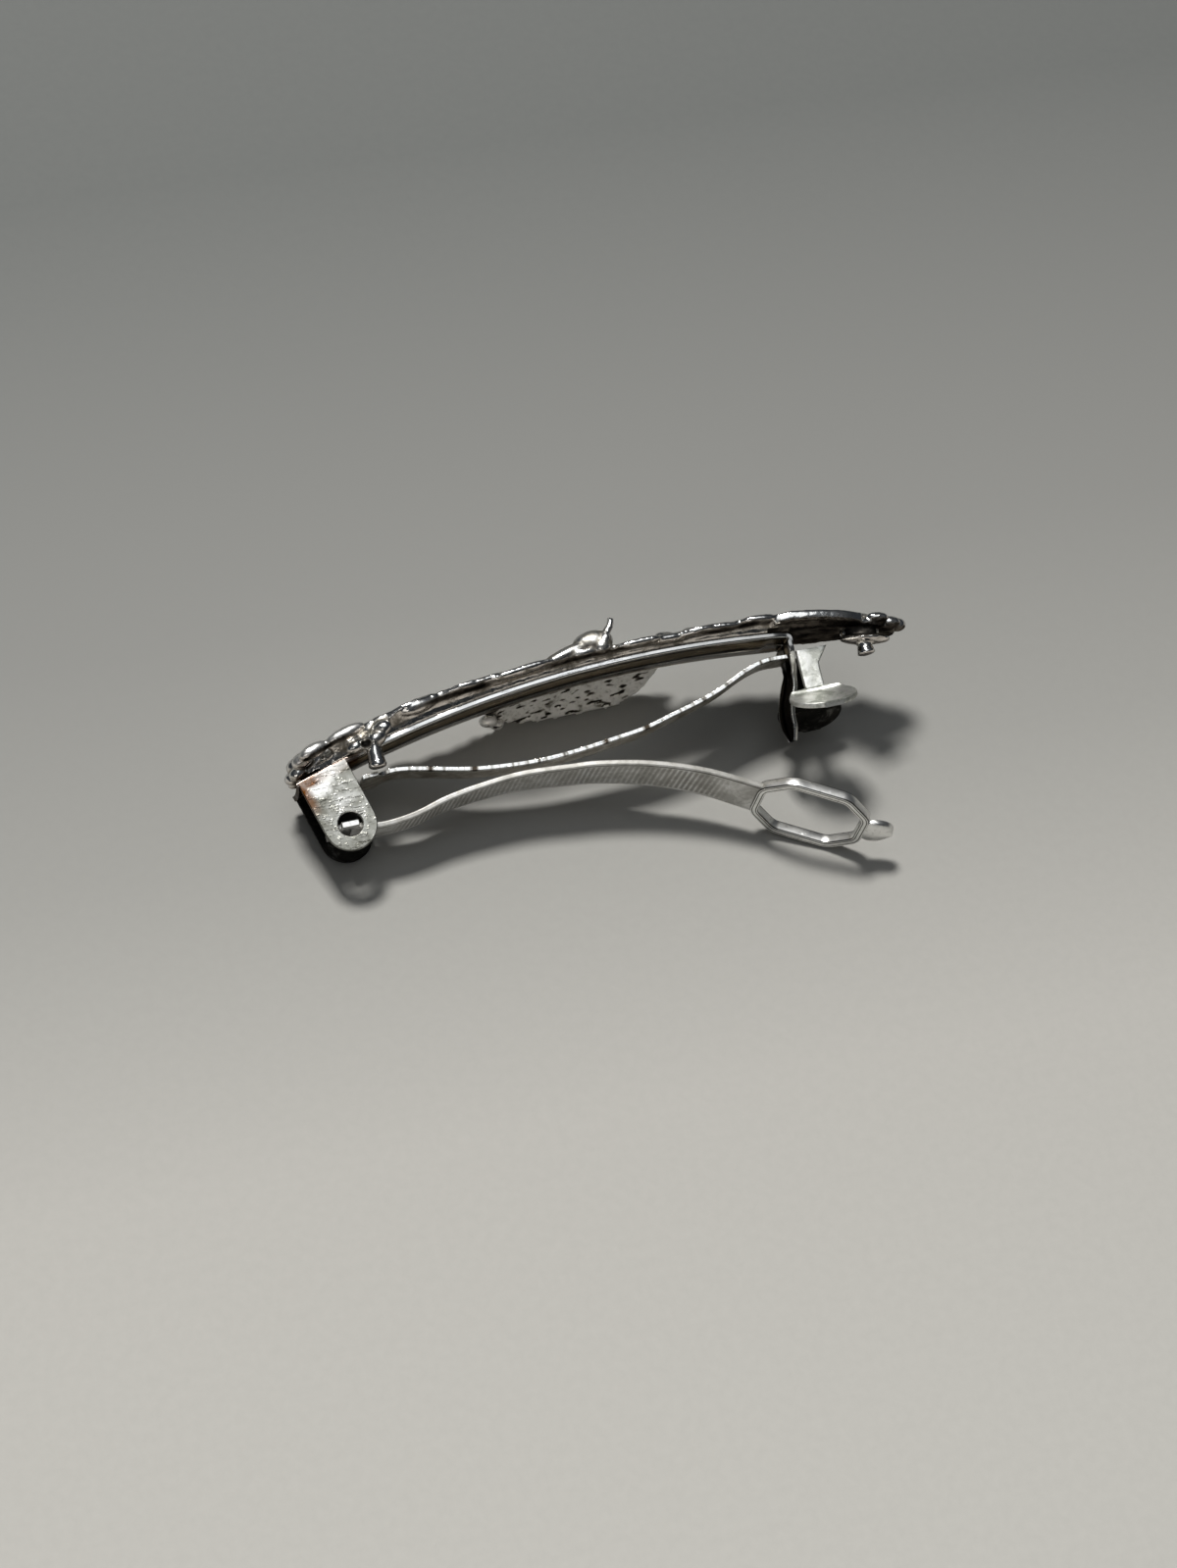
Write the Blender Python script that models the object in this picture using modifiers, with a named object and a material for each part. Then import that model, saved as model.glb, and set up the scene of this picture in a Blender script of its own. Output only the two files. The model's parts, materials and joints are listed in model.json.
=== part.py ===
"""Hair barrette: an arched spring clip under a cast silver ornament, lying open on its side.

Every piece is drawn in the clip's own axes: X from the hinge to the catch, Y away from the
viewer, Z from the clip towards the ornament. An empty then lays the whole clip on the table.
"""

import math

import bmesh
import bpy
from mathutils import Matrix, Vector

MM = 0.001
FIT_GAP = 0.3 * MM
WELD = 0.001 * MM

# Base strip, an arc seen from the side
ARCH_RADIUS = 125.0 * MM
ARCH_TOP_X = 7.0 * MM
ARCH_TOP_Z = 7.3 * MM
SHEET = 0.6 * MM
STRIP_WIDTH = 7.0 * MM
STRIP_CROWN = 0.3 * MM
STRIP_END_X = 23.1 * MM

# Hinge ears
HINGE_X = -27.8 * MM
HINGE_Z = -4.1 * MM
EAR_RADIUS = 2.8 * MM
EAR_PROUD = 0.1 * MM
LUG_WIDTH = 1.9 * MM
LUG_THICKNESS = 0.7 * MM

# End web and its tongue
WEB_TILT = math.radians(11.0)
WEB_WIDTH = 6.4 * MM
WEB_DEPTH = 1.6 * MM
TONGUE_WIDTH = 2.0 * MM
TONGUE_REACH = 11.1 * MM
TONGUE_TAPER = 2.0 * MM

# Catch legs and thumb tabs
LEG_SPREAD = 4.0 * MM
LEG_WIDTH = 2.2 * MM
LEG_TOP_Z = 4.6 * MM
LEG_HEIGHT = 4.2 * MM
TAB_LENGTH = 7.2 * MM
TAB_REACH = 4.3 * MM
TAB_SHIFT = 0.6 * MM
TAB_WIDEST_SHARE = 0.375
TAB_FLARE = math.radians(60.0)
TAB_BEND_RADIUS = 0.9 * MM

# Tension bow
BOW_THICKNESS = 0.4 * MM
BOW_WIDTH = 4.0 * MM
BOW_HEAD_WIDTH = 6.6 * MM
BOW_HEAD_LENGTH = 1.6 * MM
BOW_END_Z = 4.3 * MM
BOW_SAG = 5.6 * MM

# Clasp arm
ARM_WIDTH = 4.7 * MM
ARM_SHOULDER_WIDTH = 5.3 * MM
ARM_HEEL = 2.2 * MM
ARM_LENGTH = 43.5 * MM
ARM_RISE = 1.4 * MM
ARM_DROP = 5.6 * MM
ARM_ROLL = math.radians(22.0)
LOOP_PITCH = math.radians(28.5)
LOOP_LENGTH = 12.5 * MM
LOOP_WIDTH = 9.4 * MM
LOOP_END_WIDTH = 4.4 * MM
LOOP_SHOULDER = 2.7 * MM
LOOP_RAIL = 0.9 * MM
LOOP_THICKNESS = 0.9 * MM
TIP_LENGTH = 2.0 * MM
TIP_WIDTH = 3.4 * MM

# Cast ornament
CAST_LEFT_X = -32.3 * MM
CAST_RIGHT_X = 35.0 * MM
CAST_NEAR = 5.6 * MM
CAST_FAR = 4.4 * MM
CAST_EDGE = 0.8 * MM
CAST_CROWN = 1.2 * MM
CAST_SWELL_POWER = 0.7
CAST_TAPER_POWER = 6
CAST_DROOP = 3.3 * MM
CAST_LOBE = 0.35 * MM
CAST_LOBE_PITCH = 6.5 * MM
MEDALLION_X = -0.4 * MM
MEDALLION_RADIUS = 11.4 * MM
MEDALLION_REACH = 9.0 * MM
MEDALLION_POWER = 4
MEDALLION_SKEW_SHARE = -0.07
DOME_RADIUS = 1.6 * MM
DOME_X = 1.8 * MM
DOME_Y = -4.5 * MM
TENDRIL_ROOT_RADIUS = 0.55 * MM
TENDRIL_TIP_RADIUS = 0.21 * MM
TENDRIL_REACH = 2.4 * MM
PEG_RADIUS = 0.95 * MM
BOSS_WIDTH = 2.2 * MM
BOSS_DEPTH = 2.4 * MM
LEFT_PEG_X = -23.8 * MM
LEFT_BOSS_LENGTH = 3.6 * MM
LEFT_PEG_LENGTH = 3.7 * MM
RIGHT_PEG_X = 31.0 * MM
RIGHT_BOSS_LENGTH = 4.8 * MM
RIGHT_PEG_LENGTH = 3.6 * MM
LEAF_X = 26.2 * MM
LEAF_LENGTH = 9.6 * MM
LEAF_WIDTH = 3.6 * MM
LEAF_THICKNESS = 1.4 * MM
LEFT_BEAD_RADIUS = 1.05 * MM
RIGHT_BEAD_RADIUS = 1.35 * MM

# Which way is down, in the clip's axes, for the side that it lies on
DOWN_GUESS = Vector((-0.1, 0.94, -0.32))
SIDE_FACE_SPREAD = math.radians(25.0)

STRIP_ROWS = 40
STRIP_COLUMNS = 5
TAB_COLUMNS = 9
CAST_ROWS = 44
CAST_COLUMNS = 10
BALL_SEGMENTS = 14
BALL_RINGS = 9
ARC_STEPS = 20
EDGE_STEPS = 12


def arch_z(x):
    """Height of the base strip's middle surface above the clip's zero, at X."""
    away = x - ARCH_TOP_X
    return ARCH_TOP_Z - ARCH_RADIUS + math.sqrt(ARCH_RADIUS**2 - away**2)


def arch_slope(x):
    """Angle of the strip at X, positive where it climbs towards the catch."""
    return -math.asin((x - ARCH_TOP_X) / ARCH_RADIUS)


def clear_scene():
    for obj in list(bpy.data.objects):
        bpy.data.objects.remove(obj, do_unlink=True)


def make_collection(name, hidden=False):
    collection = bpy.data.collections.new(name)
    bpy.context.scene.collection.children.link(collection)
    collection.hide_render = hidden
    return collection


def make_material(name, colour, roughness, metallic):
    material = bpy.data.materials.new(name)
    material.use_nodes = True
    shader = material.node_tree.nodes["Principled BSDF"]
    shader.inputs["Base Color"].default_value = (*colour, 1.0)
    shader.inputs["Roughness"].default_value = roughness
    shader.inputs["Metallic"].default_value = metallic
    return material


def link_part(obj, collection, material, parent):
    collection.objects.link(obj)
    obj.data.materials.clear()
    obj.data.materials.append(material)
    obj.data.shade_smooth()
    obj.data.set_sharp_from_angle(angle=math.radians(35.0))
    obj.parent = parent


def link_helper(obj, collection, parent):
    collection.objects.link(obj)
    obj.hide_render = True
    obj.display_type = "WIRE"
    obj.parent = parent


def smooth_path(points, steps):
    """Points on a smooth curve through the given ones, a number of steps to each span."""
    ends = [points[0] * 2 - points[1]] + points + [points[-1] * 2 - points[-2]]
    path = []
    for i in range(1, len(points)):
        before, start, end, after = ends[i - 1], ends[i], ends[i + 1], ends[i + 2]
        for step in range(steps):
            t = step / steps
            path.append(
                (start * 2 + (end - before) * t
                 + (before * 2 - start * 5 + end * 4 - after) * t**2
                 + (start * 3 - before - end * 3 + after) * t**3) / 2
            )
    path.append(points[-1].copy())
    return path


def tangents(path):
    """Unit directions along a path, one for each of its points."""
    last = len(path) - 1
    return [(path[min(i + 1, last)] - path[max(i - 1, 0)]).normalized() for i in range(last + 1)]


def sheet_mesh(name, rows):
    """An open surface through rows of points."""
    mesh = bpy.data.meshes.new(name)
    bm = bmesh.new()
    grid = [[bm.verts.new(point) for point in row] for row in rows]
    for lower, upper in zip(grid, grid[1:]):
        for i in range(len(lower) - 1):
            bm.faces.new((lower[i], lower[i + 1], upper[i + 1], upper[i]))
    bmesh.ops.recalc_face_normals(bm, faces=bm.faces)
    bm.to_mesh(mesh)
    bm.free()
    return mesh


def closed_mesh(name, top_rows, bottom_rows):
    """A closed solid between two surfaces that have the same rows and columns."""
    mesh = bpy.data.meshes.new(name)
    bm = bmesh.new()
    for rows in (top_rows, bottom_rows):
        grid = [[bm.verts.new(point) for point in row] for row in rows]
        for lower, upper in zip(grid, grid[1:]):
            for i in range(len(lower) - 1):
                bm.faces.new((lower[i], lower[i + 1], upper[i + 1], upper[i]))
    bmesh.ops.remove_doubles(bm, verts=bm.verts, dist=WELD)
    edges = [edge for edge in bm.edges if edge.is_boundary]
    if edges:
        bmesh.ops.bridge_loops(bm, edges=edges)
    bmesh.ops.triangulate(bm, faces=bm.faces)
    bmesh.ops.recalc_face_normals(bm, faces=bm.faces)
    bm.to_mesh(mesh)
    bm.free()
    return mesh


def thicken(obj, thickness):
    solid = obj.modifiers.new("Thickness", "SOLIDIFY")
    solid.thickness = thickness
    solid.offset = 0
    solid.use_even_offset = True


def cut_or_join(obj, other, operation):
    boolean = obj.modifiers.new(operation.title(), "BOOLEAN")
    boolean.operation = operation
    boolean.solver = "EXACT"
    boolean.object = other


def plate_mesh(name, outlines, thickness):
    """A flat plate in the XY plane from an outline and any holes, as a welded mesh."""
    curve = bpy.data.curves.new(name, "CURVE")
    curve.dimensions = "2D"
    curve.fill_mode = "BOTH"
    curve.extrude = thickness / 2
    for outline in outlines:
        spline = curve.splines.new("POLY")
        spline.points.add(len(outline) - 1)
        for point, (x, y) in zip(spline.points, outline):
            point.co = (x, y, 0, 1)
        spline.use_cyclic_u = True
    return curve_mesh(name, curve)


def curve_mesh(name, curve):
    """The welded mesh of a curve, which is removed."""
    guide = bpy.data.objects.new(name + "_curve", curve)
    bpy.context.scene.collection.objects.link(guide)
    bpy.context.view_layer.update()
    evaluated = guide.evaluated_get(bpy.context.evaluated_depsgraph_get())
    mesh = bpy.data.meshes.new_from_object(evaluated)
    mesh.name = name
    bpy.data.objects.remove(guide, do_unlink=True)
    bpy.data.curves.remove(curve)
    bm = bmesh.new()
    bm.from_mesh(mesh)
    bmesh.ops.remove_doubles(bm, verts=bm.verts, dist=WELD)
    bmesh.ops.recalc_face_normals(bm, faces=bm.faces)
    bm.to_mesh(mesh)
    bm.free()
    return mesh


def arc_points(centre, radius, start, end, steps=ARC_STEPS):
    """Points on an arc in a plane, angles in radians."""
    angles = [start + (end - start) * i / steps for i in range(steps + 1)]
    return [(centre[0] + radius * math.cos(a), centre[1] + radius * math.sin(a)) for a in angles]


def circle_points(centre, radius, steps=ARC_STEPS):
    return arc_points(centre, radius, 0, 2 * math.pi, steps)[:-1]


def strip_rows(path, half_widths, rolls, crown=0.0):
    """Rows across a strip that follows a path in the XZ plane, rolled about its own length."""
    rows = []
    for point, along, half, roll in zip(path, tangents(path), half_widths, rolls):
        normal = Vector((-along.z, 0, along.x))
        turn = Matrix.Rotation(-roll, 3, along)
        across = turn @ Vector((0, 1, 0))
        normal = turn @ normal
        row = []
        for i in range(STRIP_COLUMNS):
            share = 2 * i / (STRIP_COLUMNS - 1) - 1
            row.append(point + across * half * share - normal * crown * (1 - share**2))
        rows.append(row)
    return rows


def side_plane(y):
    """Turns a plate's XY plane into the clip's XZ plane at Y."""
    return Matrix.Translation((0, y, 0)) @ Matrix.Rotation(math.pi / 2, 4, "X")


def ear_edge_x(side, z):
    """X of an ear's left or right edge at Z. The ears stand square to the strip above them."""
    lean = arch_slope(HINGE_X)
    tangent_x = HINGE_X + side * EAR_RADIUS * math.cos(lean)
    tangent_z = HINGE_Z + side * EAR_RADIUS * math.sin(lean)
    return tangent_x - (z - tangent_z) * math.tan(lean)


def ear_top_x(side):
    """X where an ear's edge meets the strip."""
    x = HINGE_X
    for _ in range(EDGE_STEPS):
        x = ear_edge_x(side, arch_z(x))
    return x


def ear_mesh(side):
    """One hinge ear: a flat tongue with a round end and the hole for the arm's lug."""
    left = ear_top_x(-1)
    right = ear_top_x(1)
    lean = arch_slope(HINGE_X)
    hinge = (HINGE_X, HINGE_Z)
    outline = [(right, arch_z(right)), (left, arch_z(left))]
    outline += arc_points(hinge, EAR_RADIUS, math.pi + lean, 2 * math.pi + lean)
    hole_radius = math.hypot(LUG_WIDTH, LUG_THICKNESS) / 2 + FIT_GAP
    mesh = plate_mesh("ear", [outline, circle_points(hinge, hole_radius)], SHEET)
    mesh.transform(side_plane(side * ear_centre_y()))
    return mesh


def ear_centre_y():
    return STRIP_WIDTH / 2 + EAR_PROUD - SHEET / 2


def web_top():
    x = STRIP_END_X - SHEET / 2
    return Vector((x, 0, arch_z(x)))


def web_mesh():
    """The strip's end, turned down square to it and drawn out into a tongue."""
    half = WEB_WIDTH / 2
    tongue = TONGUE_WIDTH / 2
    neck = WEB_DEPTH + half - tongue
    right_side = [
        (half, 0),
        (half, -WEB_DEPTH),
        (tongue, -neck),
        (tongue, TONGUE_TAPER - TONGUE_REACH),
        (tongue / 2, -TONGUE_REACH),
    ]
    outline = right_side + [(-x, y) for x, y in reversed(right_side)]
    mesh = plate_mesh("web", [outline], SHEET)
    stand = Matrix.Rotation(math.pi / 2, 4, "Z") @ Matrix.Rotation(math.pi / 2, 4, "X")
    tilt = Matrix.Rotation(WEB_TILT, 4, "Y")
    mesh.transform(Matrix.Translation(web_top()) @ tilt @ stand)
    return mesh


def make_base_plate(parts, cutters, frame, material):
    start = ear_top_x(-1) - SHEET / 2
    span = STRIP_END_X - start
    places = [start + span * i / STRIP_ROWS for i in range(STRIP_ROWS + 1)]
    path = [Vector((x, 0, arch_z(x))) for x in places]
    halves = [STRIP_WIDTH / 2] * len(path)
    rows = strip_rows(path, halves, [0] * len(path), STRIP_CROWN)
    obj = bpy.data.objects.new("base_plate", sheet_mesh("base_plate", rows))
    link_part(obj, parts, material, frame)
    thicken(obj, SHEET)
    additions = {"ear_near": ear_mesh(-1), "ear_far": ear_mesh(1), "end_web": web_mesh()}
    for name, mesh in additions.items():
        helper = bpy.data.objects.new(name, mesh)
        link_helper(helper, cutters, frame)
        cut_or_join(obj, helper, "UNION")
    return obj


def leg_left_x():
    drop = web_top().z - LEG_TOP_Z
    return web_top().x - drop * math.tan(WEB_TILT) + SHEET / 2 + FIT_GAP


def leg_path(side):
    """Middle line of one leg and its tab, down the leg and out along the flare, with lengths."""
    y = LEG_SPREAD / 2
    bend_z = LEG_TOP_Z - LEG_HEIGHT
    points = [(y, LEG_TOP_Z - LEG_HEIGHT * i / 4) for i in range(4)]
    bend = arc_points((y + TAB_BEND_RADIUS, bend_z), TAB_BEND_RADIUS, math.pi, math.pi + TAB_FLARE, 4)
    points += bend
    out = Vector((math.sin(TAB_FLARE), -math.cos(TAB_FLARE)))
    start = Vector(bend[-1])
    points += [tuple(start + out * TAB_REACH * i / 8) for i in range(1, 9)]
    return [Vector((0, side * across, up)) for across, up in points]


def make_catch_leg(name, side, parts, frame, material):
    """A flat leg that flares out into a round thumb tab, with its origin where it flexes."""
    path = leg_path(side)
    tab_start = 8
    middle = leg_left_x() + LEG_WIDTH / 2
    rows = []
    for i, point in enumerate(path):
        share = max(0, (i - tab_start) / (len(path) - 1 - tab_start))
        off_share = (share - TAB_WIDEST_SHARE) / (1 - TAB_WIDEST_SHARE)
        round_half = TAB_LENGTH / 2 * math.sqrt(max(0, 1 - off_share**2))
        half = LEG_WIDTH / 2 if i < tab_start - 2 else max(LEG_WIDTH / 2, round_half)
        shift = TAB_SHIFT * share
        row = []
        for column in range(TAB_COLUMNS):
            across = half * (2 * column / (TAB_COLUMNS - 1) - 1)
            row.append(point + Vector((middle + shift + across, 0, 0)))
        rows.append(row)
    root = Vector((middle, side * LEG_SPREAD / 2, LEG_TOP_Z))
    mesh = sheet_mesh(name, rows)
    mesh.transform(Matrix.Translation(-root))
    obj = bpy.data.objects.new(name, mesh)
    link_part(obj, parts, material, frame)
    obj.location = root
    thicken(obj, SHEET)
    return obj


def hinge_point():
    return Vector((HINGE_X, 0, HINGE_Z))


def bow_path():
    """The bow from its head beside the ears, down to its belly and up to the end web."""
    left = ear_edge_x(1, BOW_END_Z - BOW_SAG) + FIT_GAP
    right = web_top().x - SHEET / 2 - FIT_GAP - (web_top().z - BOW_END_Z) * math.tan(WEB_TILT)
    span = right - left
    height_shares = [
        (0.0, 0.32), (0.034, 0.34), (0.093, 0.37), (0.232, 0.125), (0.314, 0.036), (0.397, 0.0),
        (0.484, 0.036), (0.561, 0.107), (0.643, 0.196), (0.711, 0.34), (0.776, 0.48), (0.836, 0.65),
        (0.897, 0.88), (0.947, 1.0), (1.0, 1.0),
    ]
    points = []
    for along_share, height_share in height_shares:
        height = BOW_END_Z + (height_share - 1) * BOW_SAG
        points.append(Vector((left + span * along_share, 0, height)))
    return smooth_path(points, 3)


def make_tension_bow(parts, frame, material):
    path = bow_path()
    head_end = path[0].x + BOW_HEAD_LENGTH
    halves = []
    for point in path:
        width = BOW_HEAD_WIDTH if point.x < head_end else BOW_WIDTH
        halves.append(width / 2)
    rows = strip_rows(path, halves, [0] * len(path))
    mesh = sheet_mesh("tension_bow", rows)
    mesh.transform(Matrix.Translation(-hinge_point()))
    obj = bpy.data.objects.new("tension_bow", mesh)
    link_part(obj, parts, material, frame)
    obj.location = hinge_point()
    thicken(obj, BOW_THICKNESS)
    return obj


def arm_path():
    """The arm's band from its heel behind the hinge to the loop."""
    rise_shares = [
        (0.0, 0.0), (0.075, -0.4), (0.158, -0.2), (0.247, 0.47), (0.342, 0.85), (0.442, 1.0),
        (0.556, 0.7), (0.628, 0.45),
    ]
    drop_shares = [(0.747, 0.1), (0.872, 0.46), (1.0, 1.0)]
    points = [Vector((HINGE_X - ARM_HEEL, 0, HINGE_Z))]
    for along_share, rise_share in rise_shares:
        points.append(Vector((HINGE_X + ARM_LENGTH * along_share, 0, HINGE_Z + ARM_RISE * rise_share)))
    for along_share, drop_share in drop_shares:
        points.append(Vector((HINGE_X + ARM_LENGTH * along_share, 0, HINGE_Z - ARM_DROP * drop_share)))
    return smooth_path(points, 4)


def loop_outline(inset):
    """The hexagonal loop's outline, drawn in by an inset, from the arm towards the tip."""
    start, end = inset, LOOP_LENGTH - inset
    half = LOOP_WIDTH / 2 - inset
    blunt = LOOP_END_WIDTH / 2 - inset / 2
    upper = [(start, blunt), (start + LOOP_SHOULDER, half), (end - LOOP_SHOULDER, half), (end, blunt)]
    return upper, [(x, -y) for x, y in reversed(upper)]


def loop_matrix(path):
    """Places the loop at the band's end, pitched down and rolled."""
    end = path[-1]
    along = Vector((math.cos(LOOP_PITCH), 0, -math.sin(LOOP_PITCH)))
    turn = Matrix.Rotation(-ARM_ROLL, 3, along)
    across = turn @ Vector((0, 1, 0))
    normal = along.cross(across)
    matrix = Matrix((along, across, normal)).transposed().to_4x4()
    matrix.translation = end - along * LOOP_RAIL / 2
    return matrix


def loop_mesh(path):
    outer_upper, outer_lower = loop_outline(0)
    tip_half = TIP_WIDTH / 2
    tip_centre = (LOOP_LENGTH + TIP_LENGTH - tip_half, 0)
    tip = [(LOOP_LENGTH, tip_half)]
    tip += arc_points(tip_centre, tip_half, math.pi / 2, -math.pi / 2)
    tip += [(LOOP_LENGTH, -tip_half)]
    inner_upper, inner_lower = loop_outline(LOOP_RAIL)
    mesh = plate_mesh("loop", [outer_upper + tip + outer_lower, inner_upper + inner_lower], LOOP_THICKNESS)
    mesh.transform(loop_matrix(path))
    return mesh


def lug_mesh():
    """The flat cross lug that turns in both ear holes."""
    mesh = bpy.data.meshes.new("lug")
    bm = bmesh.new()
    reach = 2 * (ear_centre_y() + SHEET / 2 + FIT_GAP / 2)
    size = Matrix.Diagonal((LUG_WIDTH, reach, LUG_THICKNESS, 1))
    bmesh.ops.create_cube(bm, size=1, matrix=Matrix.Translation(hinge_point()) @ size)
    bm.to_mesh(mesh)
    bm.free()
    return mesh


def make_clasp_arm(parts, cutters, frame, material):
    path = arm_path()
    root_half = ear_centre_y() - SHEET / 2 - FIT_GAP
    ear_reach = HINGE_X + EAR_RADIUS + FIT_GAP
    shoulder = ear_reach + ARM_SHOULDER_WIDTH
    halves = []
    rolls = []
    for point in path:
        if point.x < ear_reach:
            halves.append(root_half)
        elif point.x < shoulder:
            halves.append(ARM_SHOULDER_WIDTH / 2)
        else:
            halves.append(ARM_WIDTH / 2)
        share = max(0, (point.x - ear_reach) / (path[-1].x - ear_reach))
        rolls.append(ARM_ROLL * share)
    mesh = sheet_mesh("clasp_arm", strip_rows(path, halves, rolls))
    mesh.transform(Matrix.Translation(-hinge_point()))
    obj = bpy.data.objects.new("clasp_arm", mesh)
    link_part(obj, parts, material, frame)
    obj.location = hinge_point()
    thicken(obj, SHEET)
    for name, addition in {"arm_loop": loop_mesh(path), "arm_lug": lug_mesh()}.items():
        helper = bpy.data.objects.new(name, addition)
        link_helper(helper, cutters, frame)
        cut_or_join(obj, helper, "UNION")
    return obj


def cast_edges(x):
    """Near and far edge of the casting at X, as distances from the clip's middle plane."""
    middle = (CAST_LEFT_X + CAST_RIGHT_X) / 2
    share = (x - middle) / ((CAST_RIGHT_X - CAST_LEFT_X) / 2)
    taper = (max(0, 1 - share**CAST_TAPER_POWER)) ** 0.5
    lobe = CAST_LOBE * math.cos(2 * math.pi * x / CAST_LOBE_PITCH)
    near = (CAST_NEAR + lobe) * taper
    off_share = (x - MEDALLION_X) / MEDALLION_RADIUS
    round_share = max(0, 1 - off_share**MEDALLION_POWER) ** 0.5 * (1 - MEDALLION_SKEW_SHARE * off_share)
    far = max((CAST_FAR + lobe) * taper, MEDALLION_REACH * round_share)
    return near, far


def cast_back_z(x, y):
    """The casting's back lies on the strip, and droops towards the medallion's far edge."""
    seat = arch_z(x) + SHEET / 2 + FIT_GAP
    past = max(0, y - STRIP_WIDTH / 2) / (MEDALLION_REACH - STRIP_WIDTH / 2)
    return seat - CAST_DROOP * past**2


def cast_mesh():
    rows_top = []
    rows_back = []
    span = CAST_RIGHT_X - CAST_LEFT_X
    for i in range(CAST_ROWS + 1):
        x = CAST_LEFT_X + CAST_EDGE / 4 + (span - CAST_EDGE / 2) * i / CAST_ROWS
        near, far = cast_edges(x)
        top = []
        back = []
        for column in range(CAST_COLUMNS + 1):
            share = column / CAST_COLUMNS
            y = -near + (near + far) * share
            z = cast_back_z(x, y)
            swell = math.sin(math.pi * share) ** CAST_SWELL_POWER
            back.append(Vector((x, y, z)))
            top.append(Vector((x, y, z + CAST_EDGE + CAST_CROWN * swell)))
        rows_top.append(top)
        rows_back.append(back)
    return closed_mesh("ornament", rows_top, rows_back)


def ball_mesh(centre, size, slope=0.0):
    """A ball drawn out to a length, width and height about a centre, turned to the arch's slope."""
    mesh = bpy.data.meshes.new("ball")
    bm = bmesh.new()
    turn = Matrix.Rotation(-slope, 4, "Y")
    matrix = Matrix.Translation(centre) @ turn @ Matrix.Diagonal((*size, 1))
    bmesh.ops.create_uvsphere(bm, u_segments=BALL_SEGMENTS, v_segments=BALL_RINGS, radius=0.5, matrix=matrix)
    bm.to_mesh(mesh)
    bm.free()
    return mesh


def peg_mesh(x, y, length):
    """A cast peg that stands straight down from its boss on the casting's back."""
    mesh = bpy.data.meshes.new("peg")
    bm = bmesh.new()
    centre = Matrix.Translation((x, y, cast_back_z(x, y) + (CAST_EDGE - length) / 2))
    bmesh.ops.create_cone(
        bm,
        cap_ends=True,
        segments=BALL_SEGMENTS,
        radius1=PEG_RADIUS,
        radius2=PEG_RADIUS,
        depth=length,
        matrix=centre,
    )
    bm.to_mesh(mesh)
    bm.free()
    return mesh


def tendril_mesh():
    """A curled wire that rises past the dome."""
    base = Vector((DOME_X, DOME_Y - DOME_RADIUS / 2, cast_back_z(DOME_X, DOME_Y)))
    shares = [(-0.4, 0, 0.3), (0.1, -0.35, -0.05), (0.6, -0.3, 0.05), (0.85, 0.0, 0.65), (1.04, 0.1, 1.4)]
    points = [base + Vector(share) * TENDRIL_REACH for share in shares]
    curve = bpy.data.curves.new("tendril", "CURVE")
    curve.dimensions = "3D"
    curve.bevel_depth = TENDRIL_ROOT_RADIUS
    curve.bevel_resolution = 2
    curve.use_fill_caps = True
    path = smooth_path(points, 4)
    spline = curve.splines.new("POLY")
    spline.points.add(len(path) - 1)
    for i, (node, point) in enumerate(zip(spline.points, path)):
        node.co = (*point, 1)
        node.radius = 1 + (TENDRIL_TIP_RADIUS / TENDRIL_ROOT_RADIUS - 1) * i / (len(path) - 1)
    return curve_mesh("tendril", curve)


def make_ornament(parts, cutters, frame, material):
    obj = bpy.data.objects.new("ornament", cast_mesh())
    link_part(obj, parts, material, frame)
    near_y = -CAST_NEAR / 2
    beside_strip_y = -STRIP_WIDTH / 2 - FIT_GAP - BOSS_WIDTH / 2
    left_boss = Vector((LEFT_PEG_X, beside_strip_y, cast_back_z(LEFT_PEG_X, beside_strip_y)))
    right_boss = Vector((RIGHT_PEG_X, near_y, cast_back_z(RIGHT_PEG_X, near_y)))
    leaf_y = -CAST_NEAR + LEAF_WIDTH / 2
    leaf_z = cast_back_z(LEAF_X, leaf_y) + CAST_EDGE
    dome_z = cast_back_z(DOME_X, DOME_Y) + CAST_EDGE + DOME_RADIUS / 3
    leaf_size = (LEAF_LENGTH, LEAF_WIDTH, LEAF_THICKNESS)
    left_boss_size = (LEFT_BOSS_LENGTH, BOSS_WIDTH, BOSS_DEPTH)
    right_boss_size = (RIGHT_BOSS_LENGTH, BOSS_WIDTH, BOSS_DEPTH)
    left_tip = Vector((CAST_LEFT_X, 0, cast_back_z(CAST_LEFT_X, 0) + LEFT_BEAD_RADIUS))
    right_tip = Vector((CAST_RIGHT_X, 0, cast_back_z(CAST_RIGHT_X, 0) + RIGHT_BEAD_RADIUS))
    additions = {
        "dome": ball_mesh((DOME_X, DOME_Y, dome_z), [DOME_RADIUS * 2] * 3),
        "tendril": tendril_mesh(),
        "boss_left": ball_mesh(left_boss, left_boss_size, arch_slope(LEFT_PEG_X)),
        "boss_right": ball_mesh(right_boss, right_boss_size, arch_slope(RIGHT_PEG_X)),
        "peg_left": peg_mesh(LEFT_PEG_X, beside_strip_y, LEFT_PEG_LENGTH),
        "peg_right": peg_mesh(RIGHT_PEG_X, near_y, RIGHT_PEG_LENGTH),
        "leaf": ball_mesh((LEAF_X, leaf_y, leaf_z), leaf_size, arch_slope(LEAF_X)),
        "bead_left": ball_mesh(left_tip, [LEFT_BEAD_RADIUS * 2] * 3),
        "bead_right": ball_mesh(right_tip, [RIGHT_BEAD_RADIUS * 2] * 3),
    }
    for name, mesh in additions.items():
        helper = bpy.data.objects.new(name, mesh)
        link_helper(helper, cutters, frame)
        cut_or_join(obj, helper, "UNION")
    return obj


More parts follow.
